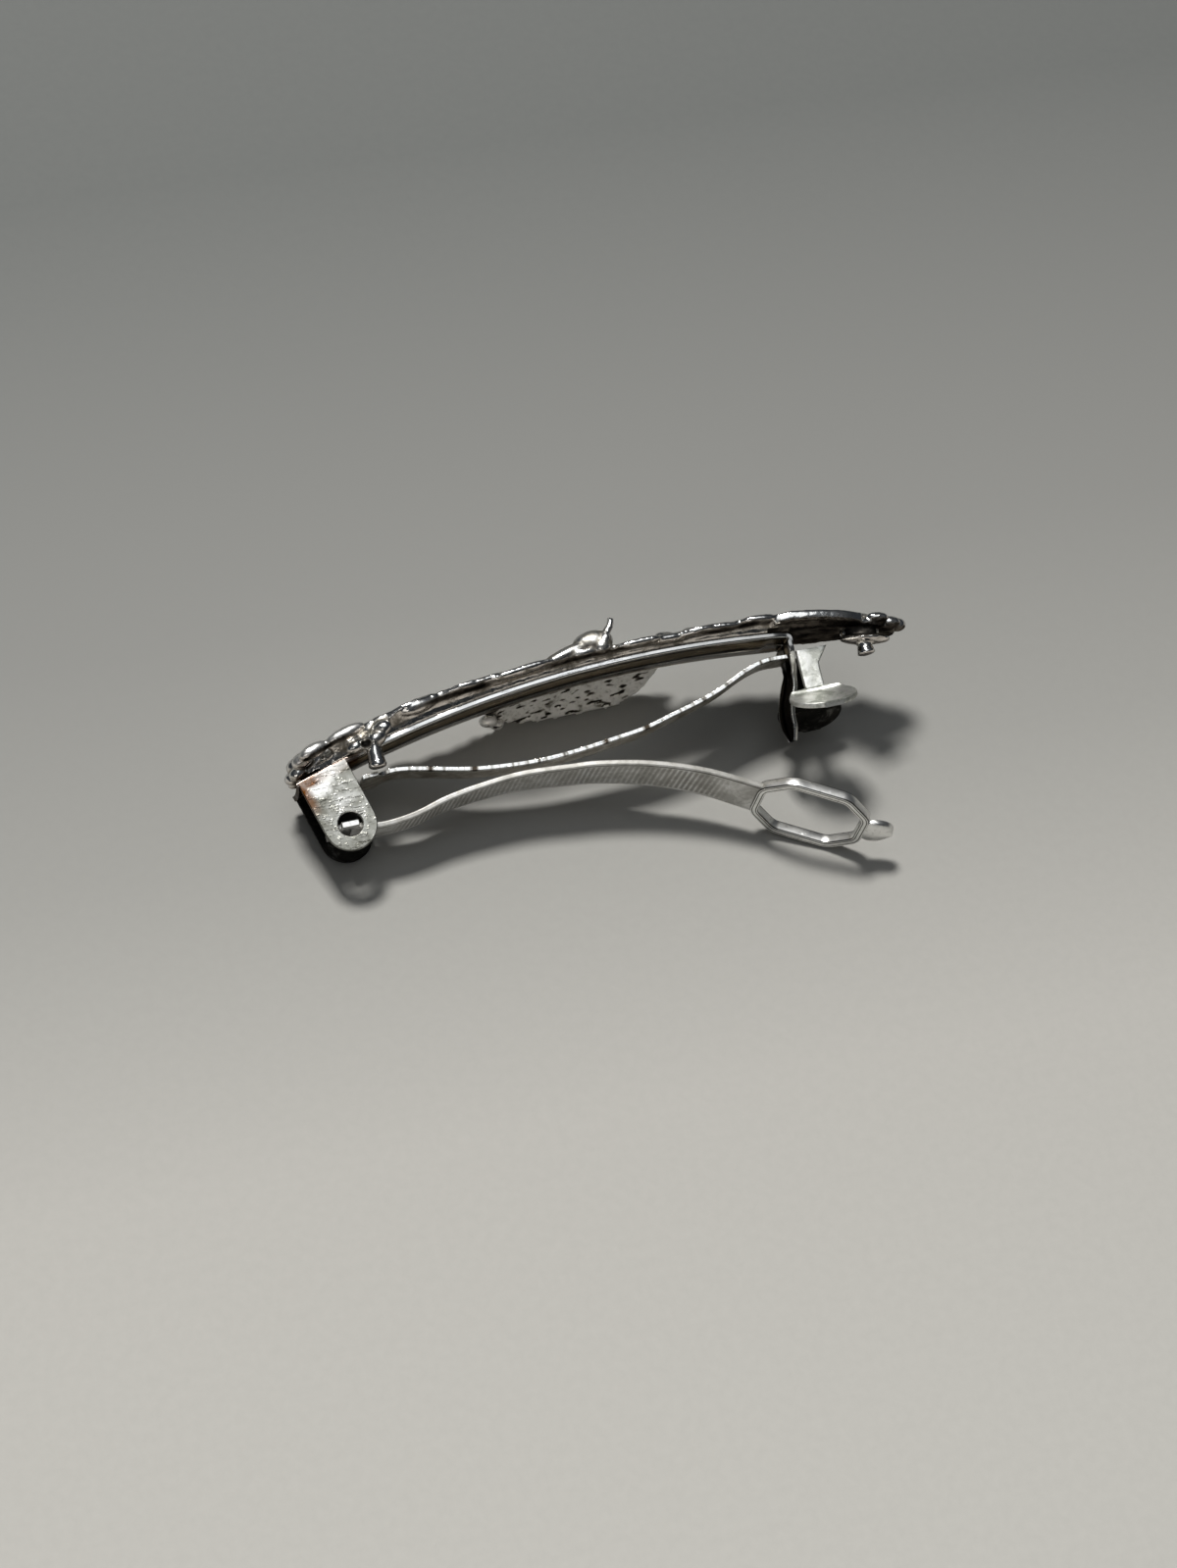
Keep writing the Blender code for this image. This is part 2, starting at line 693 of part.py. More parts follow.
def world_points(parts):
    """Every corner of the finished pieces, in world space."""
    bpy.context.view_layer.update()
    graph = bpy.context.evaluated_depsgraph_get()
    points = []
    for obj in parts.objects:
        evaluated = obj.evaluated_get(graph)
        mesh = evaluated.to_mesh()
        points += [evaluated.matrix_world @ vertex.co for vertex in mesh.vertices]
        evaluated.to_mesh_clear()
    return points


def resting_rotation(points):
    """The turn that lays the clip on the flat side of its outer hull that faces down."""
    bm = bmesh.new()
    for point in points:
        bm.verts.new(point)
    bmesh.ops.convex_hull(bm, input=bm.verts)
    bm.normal_update()
    centre = sum(points, Vector()) / len(points)
    down = DOWN_GUESS.normalized()
    best = down
    widest = 0
    for face in bm.faces:
        normal = face.normal
        if normal.dot(face.calc_center_median() - centre) < 0:
            normal = -normal
        if normal.angle(down) < SIDE_FACE_SPREAD and face.calc_area() > widest:
            widest = face.calc_area()
            best = normal.copy()
    bm.free()
    up = -best
    along = (Vector((1, 0, 0)) - up * up.x).normalized()
    across = up.cross(along)
    return Matrix((along, across, up))


def lay_down(frame, parts):
    """Lays the clip on its side with the middle of its footprint on the origin."""
    frame.rotation_mode = "QUATERNION"
    frame.rotation_quaternion = resting_rotation(world_points(parts)).to_quaternion()
    points = world_points(parts)
    low = Vector([min(point[i] for point in points) for i in range(3)])
    high = Vector([max(point[i] for point in points) for i in range(3)])
    frame.location = (-(low.x + high.x) / 2, -(low.y + high.y) / 2, -low.z)
    bpy.context.view_layer.update()


def main():
    clear_scene()
    parts = make_collection("hairpin")
    cutters = make_collection("hairpin_helpers", hidden=True)
    frame = bpy.data.objects.new("clip_frame", None)
    bpy.context.scene.collection.objects.link(frame)
    plated = make_material("plated_steel", (0.62, 0.60, 0.56), 0.22, 1.0)
    spring = make_material("spring_steel", (0.66, 0.65, 0.62), 0.18, 1.0)
    arm_steel = make_material("arm_steel", (0.64, 0.62, 0.58), 0.2, 1.0)
    leg_steel = make_material("leg_steel", (0.55, 0.54, 0.51), 0.38, 1.0)
    silver = make_material("antique_silver", (0.34, 0.32, 0.29), 0.45, 1.0)
    make_ornament(parts, cutters, frame, silver)
    make_base_plate(parts, cutters, frame, plated)
    make_catch_leg("catch_leg_near", -1, parts, frame, leg_steel)
    make_catch_leg("catch_leg_far", 1, parts, frame, leg_steel)
    make_tension_bow(parts, frame, spring)
    make_clasp_arm(parts, cutters, frame, arm_steel)
    lay_down(frame, parts)


main()
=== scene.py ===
"""Looks of a spring barrette: a cast silver ornament on an arched clip, lying open on its side.

Every piece is drawn in the clip's own axes, in millimetres: X from the hinge to the catch, Y away
from the viewer, Z towards the ornament. The hinge and its axes come from the record's joints.
"""

import json
import math

import bmesh
import bpy
import numpy as np
from mathutils import Matrix, Vector, noise


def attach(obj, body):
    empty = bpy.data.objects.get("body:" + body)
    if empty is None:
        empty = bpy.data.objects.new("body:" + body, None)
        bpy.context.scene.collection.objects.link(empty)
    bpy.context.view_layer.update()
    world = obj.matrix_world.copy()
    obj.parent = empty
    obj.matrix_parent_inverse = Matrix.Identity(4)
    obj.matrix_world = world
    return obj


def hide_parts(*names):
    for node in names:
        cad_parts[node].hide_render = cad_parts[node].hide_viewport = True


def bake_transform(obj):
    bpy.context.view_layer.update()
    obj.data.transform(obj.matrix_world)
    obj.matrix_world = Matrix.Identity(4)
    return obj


MM = 0.001

# Clip, close to the part's source
ARCH_RADIUS = 125.0
ARCH_TOP_X = 7.0
ARCH_TOP_Z = 7.3
SHEET = 0.6
STRIP_HALF = 3.5
STRIP_CROWN = 0.3
STRIP_LEFT_X = -32.3
STRIP_END_X = 23.1
HINGE_X = -27.8
HINGE_Z = -4.1
EAR_RADIUS = 2.8
EAR_Y = 3.3
HOLE_RADIUS = 1.31
WEB_TILT = math.radians(11.0)
WEB_HALF = 3.2
WEB_DROP = 1.6
WEB_TAPER = 2.0
TONGUE_HALF = 1.0
TONGUE_REACH = 11.1
TONGUE_POINT_DROP = 9.4
TONGUE_TWIST = math.radians(38.0)
LEG_LEFT_X = 23.07
LEG_WIDTH = 2.2
LEG_ROOT_EXTRA = 1.3
LEG_Y = 2.0
LEG_TOP_Z = 4.6
LEG_HEIGHT = 4.2
TAB_LENGTH = 7.2
TAB_REACH = 4.3
TAB_SHIFT = 0.6
TAB_FLARE = math.radians(60.0)
TAB_BEND_RADIUS = 0.9
TAB_LEAD = 0.6
TAB_CROWN = 0.28
BOW_END_Z = 4.3
BOW_SAG = 5.6
BOW_LEFT_X = -25.4
BOW_RIGHT_X = 22.1
BOW_SPLIT_X = -6.5
BOW_HOLD_PAST = 2.5
BOW_THICKNESS = 0.44
BOW_HALF = 2.0
BOW_HEAD_EXTRA = 1.3
BOW_HEAD_LENGTH = 2.2
ARM_HALF = 2.35
ARM_HEAD_HALF = 2.7
ARM_HEEL = 2.2
ARM_LENGTH = 43.5
ARM_RISE = 1.4
ARM_DROP = 5.6
ARM_ROLL = math.radians(22.0)
LOOP_PITCH = math.radians(28.5)
LOOP_LENGTH = 12.45
LOOP_HALF = 4.7
LOOP_END_HALF = 2.2
LOOP_SHOULDER = 2.7
LOOP_RAIL = 0.9
LOOP_CORNER = 0.7
TIP_OVERLAP = 0.95
TIP_LENGTH = 3.9
TIP_HALF = 1.75
TIP_CURL = 0.80
TIP_CROWN = 0.45
CAST_LEFT_X = -32.3
CAST_RIGHT_X = 35.0
CAST_NEAR = 5.6
CAST_FAR = 4.4
CAST_GAP = 0.3
CAST_DROP = 3.3
CAST_VOXEL = 0.15
MEDALLION_X = -0.4
MEDALLION_RADIUS = 11.4
MEDALLION_REACH = 9.0

# Height of the casting's near rim above its seat, at places along it
NEAR_PLACES = (
    -33.0, -27.7, -24.4, -19.6, -16.6, -12.3, -8.8, -2.9,
    4.9, 10.7, 15.8, 20.0, 21.6, 26.0, 30.6, 35.0,
)
NEAR_LIFTS = (1.9, 2.3, 1.9, 1.85, 1.75, 1.4, 1.2, 1.0, 0.75, 0.7, 1.05, 1.3, 1.25, 0.9, 0.7, 0.6)

# The long smooth leaf on the near rim over the catch
SMOOTH_LEAF = (
    (20.9, -4.2, 7.85), (23.2, -4.2, 7.8), (26.0, -4.15, 7.35), (28.6, -4.0, 6.85), (30.6, -3.6, 6.4),
)

# Cast holes in the two bosses beside their pegs
BOSS_HOLES = ((-24.6, -5.6, 3.5), (32.2, -4.3, 3.4))

# Camera, in the clip's axes
CAMERA_PLACE = (-65.646, -343.308, -64.733)
CAMERA_RIGHT = (0.96264, -0.13808, -0.23293)
CAMERA_DOWN = (-0.20221, 0.20555, -0.95753)
CAMERA_LENS = 76.85
SENSOR_WIDTH = 36.0

# Half the floor's side, in metres
FLOOR_HALF = 4.0


def clip_matrix(joints):
    """Clip axes in millimetres to the row frame in metres, from the hinge and squeeze joints."""
    found = {joint["name"]: joint for joint in joints}
    across = Vector(found["bow_press"]["axis"]).normalized()
    along = Vector(found["near_tab_squeeze"]["axis"]).normalized()
    up = along.cross(across)
    turn = Matrix((along, across, up)).transposed()
    hinge = Vector(found["bow_press"]["pos_m"])
    matrix = (turn * MM).to_4x4()
    matrix.translation = hinge - turn @ Vector((HINGE_X, 0, HINGE_Z)) * MM
    return matrix


def arch_z(x):
    return ARCH_TOP_Z - ARCH_RADIUS + math.sqrt(ARCH_RADIUS**2 - (x - ARCH_TOP_X) ** 2)


def arch_slope(x):
    return -math.asin((x - ARCH_TOP_X) / ARCH_RADIUS)


def chance(i, salt):
    """A repeatable number from 0 to 1."""
    return math.sin(i * 127.1 + salt * 311.7 + 4.7) * 43758.5453 % 1.0


def held(value):
    """The value, held between 0 and 1."""
    return min(1.0, max(0.0, value))


def smooth_path(points, steps):
    """Points on a smooth curve through the given ones."""
    points = [Vector(point) for point in points]
    ends = [points[0] * 2 - points[1]] + points + [points[-1] * 2 - points[-2]]
    path = []
    for i in range(1, len(points)):
        before, start, end, after = ends[i - 1], ends[i], ends[i + 1], ends[i + 2]
        for step in range(steps):
            t = step / steps
            path.append(
                (start * 2 + (end - before) * t
                 + (before * 2 - start * 5 + end * 4 - after) * t**2
                 + (start * 3 - before - end * 3 + after) * t**3) / 2
            )
    path.append(points[-1].copy())
    return path


def tangents(path, closed=False):
    """Unit directions along a path, at each of its points."""
    last = len(path) - 1
    if closed:
        return [(path[(i + 1) % len(path)] - path[i - 1]).normalized() for i in range(len(path))]
    return [(path[min(i + 1, last)] - path[max(i - 1, 0)]).normalized() for i in range(last + 1)]


def rail_profile(half, thick, corner, columns=9):
    """A rounded bar's outline as (across, up) pairs."""
    corner = min(corner, half * 0.98, thick * 0.49)
    flat = half - corner
    top = thick / 2
    row = [-flat + 2 * flat * i / (columns - 1) for i in range(columns)]
    bend = []
    for i in range(1, 4):
        a = math.pi / 2 * (1 - i / 4)
        bend.append((flat + corner * math.cos(a), top - corner + corner * math.sin(a)))
    bend += [(half, top - corner), (half, (top - corner) * 0.75)]
    right = bend + [(y, -z) for y, z in reversed(bend)]
    left = [(-y, z) for y, z in reversed(right)]
    return [(y, top) for y in row] + right + [(-y, -top) for y in row] + left


def finish_mesh(name, bm):
    mesh = bpy.data.meshes.new(name)
    bm.to_mesh(mesh)
    bm.free()
    return mesh


def add_object(name, data):
    obj = bpy.data.objects.new(name, data)
    bpy.context.scene.collection.objects.link(obj)
    return obj


def taken_mesh(obj):
    """The mesh that an object shows with its modifiers, in place of the object."""
    bpy.context.view_layer.update()
    mesh = bpy.data.meshes.new_from_object(obj.evaluated_get(bpy.context.evaluated_depsgraph_get()))
    bpy.data.objects.remove(obj, do_unlink=True)
    return mesh


def sweep_mesh(name, path, frames, profiles, closed=False, crowns=None):
    """A solid with a profile at each path point, with its run and side kept as attributes."""
    bm = bmesh.new()
    run_layer = bm.verts.layers.float.new("run")
    side_layer = bm.verts.layers.float.new("side")
    rings = []
    run = 0.0
    for i, (point, (across, up), profile) in enumerate(zip(path, frames, profiles)):
        if i:
            run += (point - path[i - 1]).length
        widest = max(abs(y) for y, _ in profile) or 1.0
        crown = crowns[i] if crowns else 0.0
        ring = []
        for y, z in profile:
            lift = z - crown * (1 - (y / widest) ** 2)
            vert = bm.verts.new(point + across * y + up * lift)
            vert[run_layer] = run
            vert[side_layer] = y / widest
            ring.append(vert)
        rings.append(ring)
    pairs = list(zip(rings, rings[1:]))
    if closed:
        pairs.append((rings[-1], rings[0]))
    for lower, upper in pairs:
        for i in range(len(lower)):
            j = (i + 1) % len(lower)
            bm.faces.new((lower[i], lower[j], upper[j], upper[i]))
    if not closed:
        bm.faces.new(rings[0])
        bm.faces.new(list(reversed(rings[-1])))
    bmesh.ops.recalc_face_normals(bm, faces=bm.faces)
    return finish_mesh(name, bm)


def band_mesh(name, path, halves, thick, rolls=None, crowns=None, corner=0.12, columns=9):
    """A sheet-metal band along a path in the clip's side plane."""
    frames = []
    for i, along in enumerate(tangents(path)):
        up = Vector((-along.z, 0, along.x)).normalized()
        across = Vector((0, 1, 0))
        if rolls:
            turn = Matrix.Rotation(-rolls[i], 3, along)
            across = turn @ across
            up = turn @ up
        frames.append((across, up))
    profiles = [rail_profile(half, thick, corner, columns) for half in halves]
    return sweep_mesh(name, path, frames, profiles, crowns=crowns)


def tube_mesh(name, path, radii, sides=12):
    frames = []
    for along in tangents(path):
        across = along.cross(Vector((0.1, 0.97, 0.2))).normalized()
        frames.append((across, along.cross(across)))
    turns = [2 * math.pi * i / sides for i in range(sides)]
    profiles = [[(radius * math.cos(a), radius * math.sin(a)) for a in turns] for radius in radii]
    return sweep_mesh(name, path, frames, profiles)


def blob_mesh(centre, size, turn=None, detail=3):
    """A ball drawn out to a length, width and height and turned."""
    bm = bmesh.new()
    matrix = Matrix.Translation(centre) @ (turn or Matrix.Identity(4)) @ Matrix.Diagonal((*size, 1))
    bmesh.ops.create_icosphere(bm, subdivisions=detail, radius=0.5, matrix=matrix)
    return finish_mesh("blob", bm)


def plate_mesh(name, outlines, thick, bevel):
    """A flat plate with softened edges from an outline and its holes, in its own XY plane."""
    curve = bpy.data.curves.new(name, "CURVE")
    curve.dimensions = "2D"
    curve.fill_mode = "BOTH"
    curve.extrude = thick / 2 - bevel
    curve.bevel_depth = bevel
    curve.bevel_resolution = 2
    curve.offset = -bevel
    for outline in outlines:
        spline = curve.splines.new("POLY")
        spline.points.add(len(outline) - 1)
        for point, (x, y) in zip(spline.points, outline):
            point.co = (x, y, 0, 1)
        spline.use_cyclic_u = True
    mesh = taken_mesh(add_object(name, curve))
    bpy.data.curves.remove(curve)
    return mesh


def mark_places(mesh, lean):
    """Keeps each corner's place from the hinge, across and up the ear, as its run and side."""
    run = mesh.attributes.new("run", "FLOAT", "POINT")
    side = mesh.attributes.new("side", "FLOAT", "POINT")
    for i, vert in enumerate(mesh.vertices):
        x, z = vert.co.x - HINGE_X, vert.co.z - HINGE_Z
        run.data[i].value = x * math.cos(lean) + z * math.sin(lean)
        side.data[i].value = z * math.cos(lean) - x * math.sin(lean)


def joined(name, meshes):
    """One mesh from several, with their attributes kept."""
    bm = bmesh.new()
    for layer in ("run", "side"):
        bm.verts.layers.float.new(layer)
    for mesh in meshes:
        bm.from_mesh(mesh)
        bpy.data.meshes.remove(mesh)
    return finish_mesh(name, bm)


def place(name, mesh, material, sharp=40.0):
    """An object in the row frame from a mesh in the clip's axes."""
    mesh.transform(CLIP)
    mesh.name = name
    obj = add_object(name, mesh)
    mesh.materials.clear()
    mesh.materials.append(material)
    mesh.shade_smooth()
    mesh.set_sharp_from_angle(angle=math.radians(sharp))
    return obj


# Materials


class Nodes:
    """Short names for building one node tree."""

    def __init__(self, tree):
        self.tree = tree

    def add(self, kind, **settings):
        node = self.tree.nodes.new(kind)
        for key, value in settings.items():
            setattr(node, key, value)
        return node

    def join(self, source, target):
        self.tree.links.new(source, target)

    def feed(self, target, value):
        if isinstance(value, bpy.types.NodeSocket):
            self.join(value, target)
        else:
            target.default_value = value

    def fed(self, kind, given, **settings):
        """A node whose inputs are given values or sockets."""
        node = self.add(kind, **settings)
        for key, value in given.items():
            self.feed(node.inputs[key], value)
        return node

    def math(self, operation, a, b=0.0, clamp=False):
        return self.fed("ShaderNodeMath", {0: a, 1: b}, operation=operation, use_clamp=clamp).outputs[0]

    def times(self, a, b):
        return self.math("MULTIPLY", a, b)

    def plus(self, a, b):
        return self.math("ADD", a, b)

    def minus(self, a, b):
        return self.math("SUBTRACT", a, b)

    def noise(self, vector, scale, detail, rough, distortion=0.0):
        given = {
            "Vector": vector, "Scale": scale, "Detail": detail, "Roughness": rough,
            "Distortion": distortion,
        }
        return self.fed("ShaderNodeTexNoise", given).outputs["Fac"]

    def ramp(self, factor, stops):
        node = self.add("ShaderNodeValToRGB")
        self.join(factor, node.inputs["Fac"])
        ramp = node.color_ramp
        while len(ramp.elements) < len(stops):
            ramp.elements.new(0.5)
        for element, (position, colour) in zip(ramp.elements, stops):
            element.position = position
            element.color = (*colour, 1.0)
        return node.outputs["Color"]

    def blend(self, factor, a, b, mode="MIX"):
        given = {0: factor, 6: a, 7: b}
        return self.fed("ShaderNodeMix", given, data_type="RGBA", blend_type=mode).outputs[2]

    def range(self, value, low, high, out_low=0.0, out_high=1.0):
        given = {"Value": value, "From Min": low, "From Max": high, "To Min": out_low, "To Max": out_high}
        return self.fed("ShaderNodeMapRange", given).outputs["Result"]

    def attribute(self, name):
        return self.add("ShaderNodeAttribute", attribute_name=name).outputs["Fac"]

    def bump(self, height, strength, distance):
        given = {"Height": height, "Strength": strength, "Distance": distance}
        return self.fed("ShaderNodeBump", given).outputs["Normal"]

    def line(self, **parts):
        """A vector from its X and Y."""
        return self.fed("ShaderNodeCombineXYZ", parts).outputs["Vector"]

    def part(self, vector, axis):
        return self.fed("ShaderNodeSeparateXYZ", {"Vector": vector}).outputs[axis]

    def finish(self, colour, roughness, height, strength, depth):
        """Joins a metal's colour, roughness and bump to its shader, and gives the material."""
        normal = self.bump(height, strength, depth)
        for key, source in (("Base Color", colour), ("Roughness", roughness), ("Normal", normal)):
            self.join(source, self.tree.nodes["Principled BSDF"].inputs[key])
        return self.material


def make_mottle_group():
    """Blotches, fine specks and hairline scratches of handled plating."""
    group = bpy.data.node_groups.new("plating wear", "ShaderNodeTree")
    sockets = (
        ("Vector", "INPUT", "Vector"), ("Blotch Size", "INPUT", "Float"),
        ("Blotch", "OUTPUT", "Float"), ("Speck", "OUTPUT", "Float"), ("Scratch", "OUTPUT", "Float"),
    )
    for name, in_out, kind in sockets:
        group.interface.new_socket(name, in_out=in_out, socket_type="NodeSocket" + kind)
    nodes = Nodes(group)
    given, out = nodes.add("NodeGroupInput"), nodes.add("NodeGroupOutput")
    vector, size = given.outputs["Vector"], given.outputs["Blotch Size"]
    blotch = nodes.noise(vector, size, 5.0, 0.62, 0.4)
    nodes.join(nodes.range(blotch, 0.38, 0.66), out.inputs["Blotch"])
    speck = nodes.noise(vector, nodes.times(size, 4.0), 3.0, 0.6)
    nodes.join(nodes.range(speck, 0.56, 0.72), out.inputs["Speck"])
    turned = {"Vector": vector, "Rotation": (0.4, 0.9, 0.5), "Scale": (1.0, 14.0, 3.0)}
    stretch = nodes.fed("ShaderNodeMapping", turned)
    hair = nodes.noise(stretch.outputs["Vector"], size, 3.0, 0.7, 0.2)
    nodes.join(nodes.range(hair, 0.6, 0.75), out.inputs["Scratch"])
    return group


def plain_material(name):
    material = bpy.data.materials.new(name)
    material.use_nodes = True
    return material, Nodes(material.node_tree), material.node_tree.nodes["Principled BSDF"].inputs


def start_metal(name, wear, size, glance=0.6, metallic=1.0):
    """A metal with its brightness at a glancing angle, and blotches, specks and scratches of a size."""
    material, nodes, inputs = plain_material(name)
    nodes.material = material
    inputs["Metallic"].default_value = metallic
    inputs["Specular Tint"].default_value = (glance, glance, glance, 1.0)
    vector = nodes.add("ShaderNodeTexCoord").outputs["Object"]
    node = nodes.add("ShaderNodeGroup", node_tree=wear)
    nodes.feed(node.inputs["Vector"], vector)
    nodes.feed(node.inputs["Blotch Size"], size)
    return nodes, vector, node.outputs["Blotch"], node.outputs["Speck"], node.outputs["Scratch"]


def make_ear_nickel(wear):
    nodes, vector, blotch, speck, scratch = start_metal("scuffed ear nickel", wear, 420.0)
    colour = nodes.ramp(blotch, [
        (0.0, (0.20, 0.20, 0.175)), (0.5, (0.36, 0.36, 0.33)), (1.0, (0.62, 0.615, 0.58)),
    ])
    colour = nodes.blend(nodes.times(scratch, 0.6), colour, (0.16, 0.15, 0.13, 1))
    up = nodes.attribute("side")
    across = nodes.attribute("run")
    patchy = nodes.noise(vector, 900.0, 4.0, 0.6)
    # Painted highlight: a near-white band along the ear's top, broken up by noise and fading as the run
    # from the hinge grows.
    painted_glare = nodes.minus(nodes.plus(up, nodes.times(patchy, 2.4)), 4.9)
    painted_glare = nodes.minus(painted_glare, nodes.range(across, -0.5, 2.0, 0.0, 1.6))
    colour = nodes.blend(nodes.range(painted_glare, 0.0, 1.0), colour, (0.93, 0.925, 0.90, 1))
    top_edge = nodes.times(nodes.range(up, 4.95, 5.5), nodes.range(across, 0.6, -1.4, 0.25, 1.0))
    edge = nodes.math("MAXIMUM", top_edge, nodes.range(across, -1.65, -2.3))
    tint = nodes.times(edge, nodes.range(up, 2.0, 4.0))
    tint = nodes.times(tint, nodes.range(patchy, 0.35, 0.55, 0.75, 1.0))
    colour = nodes.blend(tint, colour, (0.13, 0.045, 0.006, 1))
    roughness = nodes.range(blotch, 0.0, 1.0, 0.44, 0.30)
    height = nodes.plus(nodes.times(scratch, -1.0), nodes.times(speck, 0.5))
    return nodes.finish(colour, roughness, height, 0.7, 0.00008)


def make_strip_nickel(wear):
    """Strip nickel with brown tarnish bands along its underside, bright lines of painted reflection at its
    edges and middle, and black lines of painted shade.
    """
    nodes, _, blotch, _, scratch = start_metal("drawn strip nickel", wear, 300.0, 0.3)
    side = nodes.attribute("side")
    run = nodes.attribute("run")
    line = nodes.line(X=nodes.times(run, 0.06), Y=nodes.times(side, 1.6))
    drawn = nodes.noise(line, 3.0, 5.0, 0.7, 0.3)
    wander = nodes.times(nodes.minus(drawn, 0.5), 0.22)
    wander = nodes.plus(nodes.range(side, -1.0, 1.0), wander)
    # Across the strip: the bright stops are painted reflections, the black stops painted shade, the brown
    # stops its tarnish.
    colour = nodes.ramp(wander, [
        (0.0, (0.97, 0.965, 0.95)), (0.05, (0.92, 0.90, 0.87)), (0.08, (0.05, 0.04, 0.03)),
        (0.14, (0.95, 0.82, 0.63)), (0.32, (0.78, 0.64, 0.46)), (0.38, (0.04, 0.035, 0.03)),
        (0.45, (0.05, 0.042, 0.036)), (0.49, (0.97, 0.94, 0.88)), (0.54, (0.90, 0.86, 0.78)),
        (0.58, (0.05, 0.04, 0.034)), (0.80, (0.66, 0.52, 0.37)), (0.88, (0.05, 0.042, 0.036)),
        (0.92, (0.85, 0.82, 0.77)), (1.0, (0.92, 0.90, 0.86)),
    ])
    # Painted shade darkens the strip from past its middle towards the catch end and round the fold.
    shade = nodes.times(nodes.range(run, 38.0, 56.0), 0.6)
    colour = nodes.blend(shade, colour, (0.04, 0.037, 0.034, 1), "MULTIPLY")
    colour = nodes.blend(nodes.times(blotch, 0.18), colour, (0.36, 0.33, 0.29, 1))
    colour = nodes.blend(nodes.range(run, 7.8, 7.0, 0.0, 0.85), colour, (0.07, 0.03, 0.012, 1))
    tongue = nodes.ramp(nodes.math("ABSOLUTE", side), [
        (0.0, (0.015, 0.014, 0.013)), (0.80, (0.02, 0.018, 0.016)), (0.90, (0.80, 0.79, 0.76)),
        (1.0, (0.62, 0.61, 0.58)),
    ])
    colour = nodes.blend(nodes.range(run, 57.6, 58.2), colour, tongue)
    roughness = nodes.range(drawn, 0.3, 0.7, 0.32, 0.16)
    rib = nodes.minus(nodes.range(side, 0.00, 0.05), nodes.range(side, 0.10, 0.40))
    lip = nodes.minus(nodes.range(side, 0.80, 0.84), nodes.range(side, 0.86, 0.98))
    height = nodes.plus(nodes.times(drawn, 0.12), nodes.times(scratch, -0.05))
    height = nodes.plus(height, nodes.plus(rib, lip))
    return nodes.finish(colour, roughness, height, 1.0, 0.00025)


def make_spring_nickel(wear):
    """Bright spring strip; along its edge, painted highlights in stretches with dark gaps between them."""
    nodes, _, blotch, speck, scratch = start_metal("spring strip nickel", wear, 520.0, 0.7)
    run = nodes.attribute("run")
    waves_and_glints = nodes.noise(nodes.line(X=nodes.times(run, 0.55)), 1.6, 2.0, 0.5)
    side = nodes.attribute("side")
    # The edge's colour runs from near black to near white along its length: painted highlights in dashes,
    # with dark gaps.
    rim = nodes.ramp(waves_and_glints, [
        (0.38, (0.07, 0.055, 0.04)), (0.44, (0.55, 0.53, 0.49)), (0.50, (0.93, 0.93, 0.91)),
    ])
    flat = nodes.ramp(blotch, [
        (0.0, (0.46, 0.41, 0.34)), (0.6, (0.74, 0.69, 0.61)), (1.0, (0.93, 0.90, 0.84)),
    ])
    colour = nodes.blend(nodes.range(side, -0.74, -0.68), rim, flat)
    colour = nodes.blend(nodes.times(speck, 0.4), colour, (0.12, 0.10, 0.08, 1))
    roughness = nodes.range(side, -0.85, -0.7, 0.16, 0.36)
    height = nodes.plus(nodes.times(waves_and_glints, 2.0), nodes.times(scratch, -0.4))
    return nodes.finish(colour, roughness, height, 0.3, 0.0001)


def make_arm_nickel(wear, grooved):
    """Plated metal, with slanting pressed grooves where it is the arm's band."""
    name, metallic = ("grooved arm nickel", 0.5) if grooved else ("loop nickel", 1.0)
    nodes, vector, blotch, speck, scratch = start_metal(name, wear, 480.0, metallic=metallic)
    side = nodes.attribute("side")
    colour = nodes.ramp(blotch, [
        (0.0, (0.50, 0.49, 0.46)), (0.5, (0.72, 0.71, 0.68)), (1.0, (0.88, 0.875, 0.86)),
    ])
    height = nodes.times(scratch, -0.2)
    if grooved:
        run = nodes.attribute("run")
        slant = nodes.plus(nodes.times(run, 2 * math.pi / 0.58), nodes.times(side, 3.6))
        groove = nodes.range(nodes.math("SINE", slant), -0.5, 0.9)
        flat = nodes.math("LESS_THAN", nodes.math("ABSOLUTE", nodes.minus(side, 0.03)), 0.80)
        started = nodes.times(nodes.range(run, 6.5, 8.5), nodes.range(run, 44.2, 42.2))
        pressed = nodes.times(nodes.times(flat, started), nodes.minus(1.0, groove))
        faint = nodes.noise(vector, 120.0, 2.0, 0.5)
        shown = nodes.times(pressed, nodes.range(faint, 0.35, 0.65, 0.25, 0.75))
        colour = nodes.blend(shown, colour, (0.20, 0.185, 0.16, 1))
        under = nodes.times(nodes.range(side, -0.93, -0.90), nodes.range(side, -0.80, -0.84))
        colour = nodes.blend(nodes.times(under, 0.75), colour, (0.05, 0.04, 0.035, 1))
        colour = nodes.blend(nodes.range(side, -0.965, -0.99, 0.0, 0.45), colour, (0.15, 0.145, 0.125, 1))
        height = nodes.minus(height, pressed)
    else:
        off_middle = nodes.math("ABSOLUTE", side)
        colour = nodes.blend(0.75, colour, (0.98, 0.98, 0.96, 1))
        # Painted shade: thin dark lines where the rail turns, in its channel and along its rim bevel.
        channel = nodes.times(nodes.range(off_middle, 0.28, 0.36), nodes.range(off_middle, 0.60, 0.52))
        rim = nodes.times(nodes.range(off_middle, 0.78, 0.84), nodes.range(off_middle, 0.985, 0.93))
        lines = nodes.math("MAXIMUM", channel, rim)
        colour = nodes.blend(nodes.times(lines, 0.95), colour, (0.02, 0.019, 0.014, 1))
    colour = nodes.blend(nodes.times(speck, 0.3), colour, (0.14, 0.12, 0.10, 1))
    dull, bright = (0.50, 0.38) if grooved else (0.40, 0.28)
    roughness = nodes.range(blotch, 0.0, 1.0, dull, bright)
    return nodes.finish(colour, roughness, height, 0.4, 0.00008)


